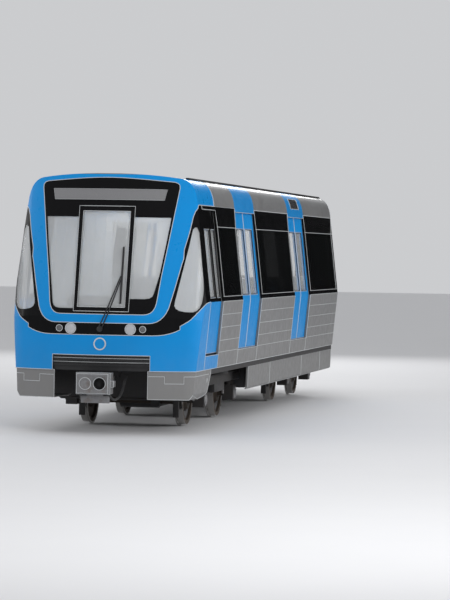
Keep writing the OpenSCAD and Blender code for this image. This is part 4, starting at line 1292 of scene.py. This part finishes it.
def makeBogieDetail(end):
    axles = [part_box(f"{end}_wheelset_{n}") for n in (1, 2)]
    spots = [(low.x + high.x) / 2 for low, high in axles]
    axleZ = axles[0][1].z / 2
    body = f"{end}_bogie"
    covers, airs = bmesh.new(), bmesh.new()
    heads, springs = [], []
    for x in spots:
        for side in (-1, 1):
            face = side * (gear["boxY"] + gear["boxHalf"])
            addLathe(covers, [(0, 0), (0.1, 0), (0.1, 0.01), (0.09, 0.015), (0.06, 0.016), (0.05, 0.024), (0, 0.026)],
                     (x, face, axleZ), (0, side, 0), 40)
            heads += [((x + 0.08 * math.cos(a), face + side * 0.018, axleZ + 0.08 * math.sin(a)), (0, side, 0))
                      for a in (math.radians(60 * k + 30) for k in range(6))]
            springs += [((x + d, side * gear["boxY"], gear["springZ"][0] + 0.008), (0, 0, 1))
                        for d in (-gear["springGap"], gear["springGap"])]
            addRod(covers, (x + 0.16, side * 0.93, axleZ - 0.02), (x + 0.16, side * 0.93, 0.6), 0.022, 0.004, 20)
    middle = sum(spots) / 2
    tall = gear["airZ"][1] - gear["airZ"][0]
    for side in (-1, 1):
        rows = [(0.226 + 0.011 * abs(math.sin(math.pi * 2 * i / 24)), tall * i / 24) for i in range(25)]
        addLathe(airs, rows, (middle, side * gear["airY"], gear["airZ"][0]), (0, 0, 1), 48)
        pipe = rounded([(middle - 1.2, side * 0.87, 0.79), (middle - 0.5, side * 0.87, 0.79),
                        (middle - 0.4, side * 0.72, 0.83), (middle + 0.5, side * 0.72, 0.83),
                        (middle + 0.6, side * 0.87, 0.79), (middle + 1.2, side * 0.87, 0.79)], 0.08)
        addTube(covers, pipe, 0.011, 8)
    newPiece(f"{end}AxleCovers", finishMesh(covers, "axleCovers"), body, ["cast"])
    newPiece(f"{end}AirSprings", finishMesh(airs, "airSprings"), body, ["rubber"])
    growPiece(f"{end}CoverBolts", bolts, pointMesh("coverSpots", heads),
              {"Radius": 0.009, "Height": 0.008, "Turn Seed": 7}, body, "cast")
    growPiece(f"{end}CoilSprings", coils, pointMesh("springSpots", springs),
              {"Turns": 3.5, "Height": gear["springZ"][1] - gear["springZ"][0] - 0.016, "Radius": 0.054, "Wire": 0.008},
              body, "bogie")
    for n, x in zip((1, 2), spots):
        discs, studs = bmesh.new(), []
        small, big = gear["discRadius"]
        for side in (-1, 1):
            addLathe(discs, [(small, 0), (big, 0), (big, 0.014), (big - 0.004, 0.018), (small + 0.004, 0.018),
                             (small, 0.014), (small, 0)], (x, side * gear["discIn"], axleZ), (0, side, 0), 64)
            studs += [((x + 0.205 * math.cos(a), side * (gear["discIn"] + 0.021), axleZ + 0.205 * math.sin(a)),
                       (0, side, 0)) for a in (2 * math.pi * k / 12 for k in range(12))]
        newPiece(f"{end}BrakeDiscs{n}", finishMesh(discs, "brakeDiscs"), f"{end}_wheelset_{n}", ["drawbar"])
        growPiece(f"{end}DiscBolts{n}", bolts, pointMesh("discSpots", studs),
                  {"Radius": 0.008, "Height": 0.008, "Turn Seed": 9}, f"{end}_wheelset_{n}", "cast")
    for part, material in (("frame", "bogie"), ("motors", "motor")):
        node = f"{end}_bogie_{part}"
        bevelled(node, node.title().replace("_", ""), body,
                 [material], 0.006)


for end in ("front", "rear"):
    makeBogieDetail(end)


def makeUnderside():
    bevelled("equipment_cases", "equipmentCases", "carbody", ["case"], 0.012)
    bm, latches, louvres = bmesh.new(), [], []
    for low, high in islandBoxes("equipment_cases"):
        side = 1 if high.y > 0 else -1
        face = high.y if side > 0 else low.y
        addBox(bm, (low.x + 0.03, min(face, face + side * 0.008), low.z + 0.04),
               (high.x - 0.03, max(face, face + side * 0.008), high.z - 0.05), 0.003)
        for i in range(9):
            for z in (low.z + 0.06, high.z - 0.07):
                latches.append(((low.x + 0.07 + (high.x - low.x - 0.14) * i / 8, face + side * 0.01, z), (0, side, 0)))
        for i in range(7):
            louvres.append((((low.x + high.x) / 2, face + side * 0.006, low.z + 0.14 + 0.03 * i), (side, 0, 0)))
        addBox(bm, (low.x + 0.1, low.y + 0.1, low.z - 0.006), (high.x - 0.1, high.y - 0.1, low.z + 0.004), 0.003)
    for y in (-0.09, 0.0, 0.09):
        addTube(bm, [(2.9 - 7.4 * i / 20, y, 0.955) for i in range(21)], 0.016, 10)
    # a dark plate across the gap between the bumpers behind the coupler, with ribs and a rod at its foot: painted shade
    # standing in for the shaded underframe seen there
    shadePlate = bmesh.new()
    outline = [(-1.27, 0.82), (-1.27, 0.62), (-1.0, 0.42), (1.0, 0.42), (1.27, 0.62), (1.27, 0.82), (1.05, 0.932),
               (-1.05, 0.932)]
    near, far = [[shadePlate.verts.new((x, y, z)) for y, z in outline] for x in (5.345, 5.33)]
    shadePlate.faces.new(near)
    shadePlate.faces.new(far)
    for k in range(len(outline)):
        shadePlate.faces.new([near[k], near[k - 1], far[k - 1], far[k]])
    for y in (-0.7, -0.25, 0.25, 0.7):
        addBox(shadePlate, (5.2, y - 0.012, 0.6), (5.332, y + 0.012, 0.932), 0.003)
    addRod(shadePlate, (5.35, -0.84, 0.44), (5.35, 0.84, 0.44), 0.016)
    newPiece("deflectorPlate", finishMesh(shadePlate, "deflectorPlate"), "carbody", ["frame"])
    newPiece("caseLids", finishMesh(bm, "caseLids"), "carbody", ["case"])
    growPiece("caseBolts", bolts, pointMesh("caseSpots", latches), {"Radius": 0.008, "Height": 0.006, "Turn Seed": 2},
              "carbody", "drawbar")
    growPiece("caseLouvres", slats, pointMesh("louvreRows", louvres),
              {"Length": 0.5, "Depth": 0.016, "Thickness": 0.0025, "Slant": 0.7}, "carbody", "case")


makeUnderside()
print("running gear done")


# ------------------------------------------------ inside: floor, lights, desk and poles

def makeInside():
    bm = bmesh.new()
    addBox(bm, (rearX + 0.085, -1.24, floorZ + 0.0005), (4.82, 1.24, floorZ + 0.003), 0.0)
    addBox(bm, (4.88, -1.1, floorZ + 0.0005), (6.24, 1.1, floorZ + 0.003), 0.0)
    newPiece("floorSheet", finishMesh(bm, "floorSheet"), "carbody", ["floor"])
    bm = bmesh.new()
    for pair in doorPairs:
        for side in (-1, 1):
            inner, outer = sorted((side * 1.245, side * 1.36))
            addBox(bm, (pair["middle"] - pair["half"], inner, floorZ + 0.0005),
                   (pair["middle"] + pair["half"], outer, floorZ + 0.005), 0.001)
    newPiece("doorThresholds", finishMesh(bm, "doorThresholds"), "carbody", ["steel"])
    bm = bmesh.new()
    for side in (-1, 1):
        for i in range(9):
            x = rearX + 0.25 + 1.28 * i
            addBox(bm, (x, side * 0.62 - 0.05, ceilingZ - 0.012), (x + 1.2, side * 0.62 + 0.05, ceilingZ), 0.004)
    addBox(bm, (5.1, -0.35, 3.3), (6.0, -0.2, 3.315), 0.003)
    addBox(bm, (5.1, 0.2, 3.3), (6.0, 0.35, 3.315), 0.003)
    newPiece("ceilingLights", finishMesh(bm, "ceilingLights"), "carbody", ["light"])
    bm = bmesh.new()
    for low, high in islandBoxes("grab_poles"):
        if high.z - low.z > 1:
            middle = ((low.x + high.x) / 2, (low.y + high.y) / 2)
            addLathe(bm, [(0.018, 0), (0.045, 0), (0.045, 0.006), (0.03, 0.012), (0.02, 0.03), (0.018, 0.03)],
                     (*middle, floorZ + 0.003), (0, 0, 1), 24)
            addLathe(bm, [(0.018, 0), (0.045, 0), (0.045, 0.006), (0.03, 0.012), (0.02, 0.03), (0.018, 0.03)],
                     (*middle, ceilingZ), (0, 0, -1), 24)
    newPiece("poleFlanges", finishMesh(bm, "poleFlanges"), "carbody", ["steel"])


def makeDesk():
    bevelled("cab_desk", "deskBody", "carbody", ["desk"], 0.006)
    tree = hitTree("cab_desk")
    bm = bmesh.new()
    for i, y in enumerate((-0.42, 0.0, 0.42)):
        found = tree.ray_cast(Vector((6.57, y, 3)), Vector((0, 0, -1)))
        if not found[0]:
            continue
        across = Vector((0, 1, 0))
        along = across.cross(found[1]).normalized()
        turned = Matrix((along, across, found[1])).transposed()
        start = len(bm.verts)
        addBox(bm, (-0.07, -0.15, -0.002), (0.07, 0.15, 0.006), 0.003, 0)
        addBox(bm, (-0.058, -0.135, 0.004), (0.058, 0.135, 0.0075), 0.0, 1)
        bm.verts.ensure_lookup_table()
        for v in bm.verts[start:]:
            v.co = turned @ v.co + found[0]
    for y in (-0.7, -0.6, 0.62, 0.72):
        addRod(bm, (6.5, y, 1.86), (6.47, y, 1.95), 0.008, mat=2)
        addLathe(bm, [(0, 0), (0.018, 0.004), (0.02, 0.016), (0.012, 0.028), (0, 0.03)], (6.47, y, 1.945), (-0.3, 0, 1), 20, 0)
    newPiece("deskScreens", finishMesh(bm, "deskScreens"), "carbody", ["matt", "screen", "steel"])


makeInside()
makeDesk()


# ------------------------------------------------ seats: cushions swollen by cloth simulation

pad = {"cell": 0.03, "pressure": 4.0, "frames": 20, "cap": 0.009, "piping": 0.0028}


def padShape(size, cell):
    # rounded box of quads, its middle at the origin
    counts = [max(2, round(s / cell)) for s in size]
    counts[size.index(min(size))] = 2
    r = min(size) * 0.42
    bm, rim = bmesh.new(), []
    for axis in range(3):
        u, v = [k for k in range(3) if k != axis]
        for side in (-1, 1):
            grid = []
            for i in range(counts[u] + 1):
                row = []
                for j in range(counts[v] + 1):
                    p = [0.0, 0.0, 0.0]
                    p[axis] = side * size[axis] / 2
                    p[u] = size[u] * (i / counts[u] - 0.5)
                    p[v] = size[v] * (j / counts[v] - 0.5)
                    core = Vector(max(-(s / 2 - r), min(s / 2 - r, c)) for s, c in zip(size, p))
                    out = Vector(p) - core
                    row.append(bm.verts.new(core + out.normalized() * min(r, out.length)))
                grid.append(row)
            for a, b in zip(grid, grid[1:]):
                for k in range(counts[v]):
                    bm.faces.new([a[k], a[k + 1], b[k + 1], b[k]])
    bmesh.ops.remove_doubles(bm, verts=bm.verts, dist=1e-5)
    bmesh.ops.recalc_face_normals(bm, faces=bm.faces)
    mesh = bpy.data.meshes.new("pad")
    bm.to_mesh(mesh)
    bm.free()
    return mesh


def swell(size, held):
    # the pad under inner pressure, its back held; how far a point may move is capped
    mesh = padShape(size, pad["cell"])
    rest = [v.co.copy() for v in mesh.vertices]
    carrier = bpy.data.objects.new("padSource", mesh)
    bpy.context.scene.collection.objects.link(carrier)
    group = carrier.vertex_groups.new(name="held")
    group.add([i for i, p in enumerate(rest) if held(p)], 1.0, "REPLACE")
    cloth = carrier.modifiers.new("cloth", "CLOTH")
    settings = cloth.settings
    settings.quality = 6
    settings.mass = 0.3
    settings.use_pressure = True
    settings.uniform_pressure_force = pad["pressure"]
    settings.vertex_group_mass = "held"
    settings.effector_weights.gravity = 0
    cloth.point_cache.frame_end = pad["frames"]
    for step in range(1, pad["frames"] + 1):
        bpy.context.scene.frame_set(step)
    view = bpy.context.evaluated_depsgraph_get()
    swollen = [v.co.copy() for v in carrier.evaluated_get(view).data.vertices]
    bpy.data.objects.remove(carrier)
    for vertex, before, after in zip(mesh.vertices, rest, swollen):
        moved = after - before
        if moved.length > pad["cap"]:
            moved *= pad["cap"] / moved.length
        vertex.co = before + moved
    bpy.context.scene.frame_set(1)
    return mesh


def padCopies(name, mesh, places, material):
    # copies of one pad, each by its own matrix, as one padded piece
    bm = bmesh.new()
    for matrix in places:
        start = len(bm.verts)
        bm.from_mesh(mesh)
        bm.verts.ensure_lookup_table()
        for v in bm.verts[start:]:
            v.co = matrix @ v.co
    piece = newPiece(name, finishMesh(bm, name, 1.4), "carbody", [material])
    return piece


def turnedTo(spot, facing=1, lean=0.0):
    return Matrix.Translation(spot) @ Matrix.Scale(facing, 4, (1, 0, 0)) @ Matrix.Rotation(lean, 4, "Y")


def makeSeats():
    shells, pads, backs = bmesh.new(), [], []
    for low, high in islandBoxes("passenger_seats"):
        pass
    bm = mergedCopy("passenger_seats")
    for group, low, high in islands(bm):
        top = [v.co.x for v in group if v.co.z > high.z - 0.01]
        facing = 1 if sum(top) / len(top) < (low.x + high.x) / 2 else -1
        rear = low.x if facing > 0 else high.x
        base = floorZ + 0.4

        def box(a, b, y0, y1, z0, z1, bevel, mat=0):
            x0, x1 = sorted((rear + facing * a, rear + facing * b))
            addBox(shells, (x0, y0, z0), (x1, y1, z1), bevel, mat)

        box(0.004, 0.448, low.y + 0.002, high.y - 0.002, base, base + 0.024, 0.008)
        box(0.004, 0.03, low.y + 0.002, high.y - 0.002, base + 0.02, high.z - 0.002, 0.008)
        middle = (low.y + high.y) / 2
        box(0.13, 0.35, middle - 0.05, middle + 0.05, floorZ + 0.003, base + 0.002, 0.012, 1)
        box(0.1, 0.38, middle - 0.09, middle + 0.09, floorZ + 0.003, floorZ + 0.016, 0.004, 1)
        box(0.005, 0.024, middle - 0.16, middle + 0.16, high.z - 0.006, high.z + 0.006, 0.004, 1)
        for k in (-1, 1):
            y = middle + k * (high.y - low.y) / 4
            pads.append(turnedTo(Vector((rear + facing * 0.262, y, base + 0.045)), facing))
            backs.append(turnedTo(Vector((rear + facing * 0.052, y, base + 0.37)), facing))
    bm.free()
    piece = newPiece("seatShells", finishMesh(shells, "seatShells"), "carbody", ["shell", "steel"])
    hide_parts("passenger_seats")
    padCopies("seatPads", swell((0.352, 0.452, 0.038), lambda p: p.z < -0.012), pads, "seatCloth")
    padCopies("seatBacks", swell((0.038, 0.452, 0.52), lambda p: p.x < -0.012), backs, "seatCloth")


def makeDriverSeat():
    low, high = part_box("driver_seat")
    x = noseX - 1.45
    bm = bmesh.new()
    addLathe(bm, [(0, 0), (0.21, 0), (0.21, 0.02), (0.2, 0.03), (0.08, 0.04), (0.062, 0.07), (0.06, 0.3), (0, 0.3)],
             (x, 0, floorZ), (0, 0, 1), 40)
    addBox(bm, (x - 0.22, -0.23, floorZ + 0.3), (x + 0.23, 0.23, floorZ + 0.352), 0.012)
    lean = math.radians(-8)
    start = len(bm.verts)
    addBox(bm, (-0.002, -0.215, 0.0), (0.03, 0.215, 0.62), 0.012)
    addBox(bm, (0.005, -0.02, 0.6), (0.02, 0.02, 0.72), 0.004)
    bm.verts.ensure_lookup_table()
    for v in bm.verts[start:]:
        v.co = Matrix.Rotation(lean, 3, "Y") @ v.co + Vector((x - 0.325, 0, floorZ + 0.385))
    piece = newPiece("driverSeatShell", finishMesh(bm, "driverSeatShell"), "carbody", ["desk"])
    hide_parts("driver_seat")
    turned = Matrix.Rotation(lean, 4, "Y")
    spot = Vector((x - 0.325, 0, floorZ + 0.385))
    padCopies("driverCushion", swell((0.45, 0.455, 0.078), lambda p: p.z < -0.03),
              [Matrix.Translation((x + 0.012, 0, floorZ + 0.395))], "driverCloth")
    padCopies("driverBack", swell((0.06, 0.43, 0.58), lambda p: p.x < -0.02),
              [Matrix.Translation(spot) @ turned @ Matrix.Translation((0.07, 0, 0.34))],
              "driverCloth")
    padCopies("driverHeadrest", swell((0.06, 0.23, 0.18), lambda p: p.x < -0.02),
              [Matrix.Translation(spot) @ turned @ Matrix.Translation((0.04, 0, 0.7))],
              "driverCloth")


makeSeats()
makeDriverSeat()
print("inside done")


# ------------------------------------------------ stage, lights and camera

camera = {
    "place": (47.610, 9.290, 2.701),
    "heading": math.radians(10.417),   # how far the view is turned from straight astern
    "dip": math.radians(-0.973),
    "roll": math.radians(0.975),
    "lens": 170.7,
}


def makeCamera():
    data = bpy.data.cameras.new("camera")
    data.lens = camera["lens"]
    data.sensor_width = 36
    data.clip_start, data.clip_end = 0.5, 200
    eye = bpy.data.objects.new("camera", data)
    bpy.context.scene.collection.objects.link(eye)
    h, d, r = camera["heading"], camera["dip"], camera["roll"]
    ahead = Vector((-math.cos(h) * math.cos(d), -math.sin(h) * math.cos(d), math.sin(d)))
    right = ahead.cross(Vector((0, 0, 1))).normalized()
    over = right.cross(ahead)
    tiltedRight = right * math.cos(r) + over * math.sin(r)
    tiltedUp = over * math.cos(r) - right * math.sin(r)
    turned = Matrix((tiltedRight, tiltedUp, -ahead)).transposed().to_4x4()
    eye.matrix_world = Matrix.Translation(camera["place"]) @ turned
    bpy.context.scene.camera = eye


stage = {
    "floor": 400.0,
    "color": (0.68, 0.68, 0.69),
    "air": 0.72,
    "flagFrom": (-46, 2.5, -1),     # dark panel astern that only reflections see, to keep the glass black
    "flagTo": (-30, 26, 16),
}


def makeStage():
    material, tree, shader = newMaterial("studioFloor", rough=0.7)
    vector = place(tree)
    tree.links.new(blend(tree, noise(tree, vector, 0.8, 6), shades(stage["color"], 0.97), stage["color"]),
                   shader.inputs["Base Color"])
    half = stage["floor"]
    mesh = bpy.data.meshes.new("floor")
    mesh.from_pydata([(-half, -half, 0), (half, -half, 0), (half, half, 0), (-half, half, 0)], [], [(0, 1, 2, 3)])
    mesh.materials.append(material)
    floor = bpy.data.objects.new("floor", mesh)
    bpy.context.scene.collection.objects.link(floor)
    dark, tree, shader = newMaterial("flagCloth", color=(0.01, 0.01, 0.01), rough=1.0, specular=0.0)
    tone = noise(tree, place(tree), 2)
    tree.links.new(blend(tree, tone, (0.008, 0.008, 0.008), (0.014, 0.014, 0.014)), shader.inputs["Base Color"])
    (x0, y0, z0), (x1, y1, z1) = stage["flagFrom"], stage["flagTo"]
    mesh = bpy.data.meshes.new("flag")
    mesh.from_pydata([(x0, y0, z0), (x1, y1, z0), (x1, y1, z1), (x0, y0, z1)], [], [(0, 1, 2, 3)])
    mesh.materials.append(dark)
    flag = bpy.data.objects.new("flag", mesh)
    bpy.context.scene.collection.objects.link(flag)
    flag.visible_camera = flag.visible_shadow = flag.visible_diffuse = False
    world = bpy.data.worlds.new("studio")
    world.use_nodes = True
    world.node_tree.nodes["Background"].inputs["Color"].default_value = (0.83, 0.84, 0.86, 1)
    world.node_tree.nodes["Background"].inputs["Strength"].default_value = stage["air"]
    bpy.context.scene.world = world
    bpy.context.scene.view_settings.view_transform = "Standard"


def softLight(name, spot, target, size, power, shine=True):
    data = bpy.data.lights.new(name, "AREA")
    data.shape, data.size, data.size_y, data.energy = "RECTANGLE", size[0], size[1], power
    lamp = bpy.data.objects.new(name, data)
    bpy.context.scene.collection.objects.link(lamp)
    lamp.location = spot
    lamp.rotation_euler = (Vector(target) - Vector(spot)).to_track_quat("-Z", "Y").to_euler()
    lamp.visible_glossy = shine


makeCamera()
makeStage()
softLight("keyLight", (24, 10, 10), (2, 0, 1.6), (12, 9), 1700, shine=False)
softLight("sideLight", (4, -22, 9), (0, 0, 1.8), (16, 6), 1100)
softLight("leftLight", (0, 20, 8), (0, 0, 1.8), (16, 6), 1500)
softLight("topLight", (0, 0, 16), (0, 0, 2), (18, 6), 350, shine=False)
softLight("rearLight", (-24, -4, 9), (-6, 0, 1.8), (8, 6), 900)
print("camera and lights placed")
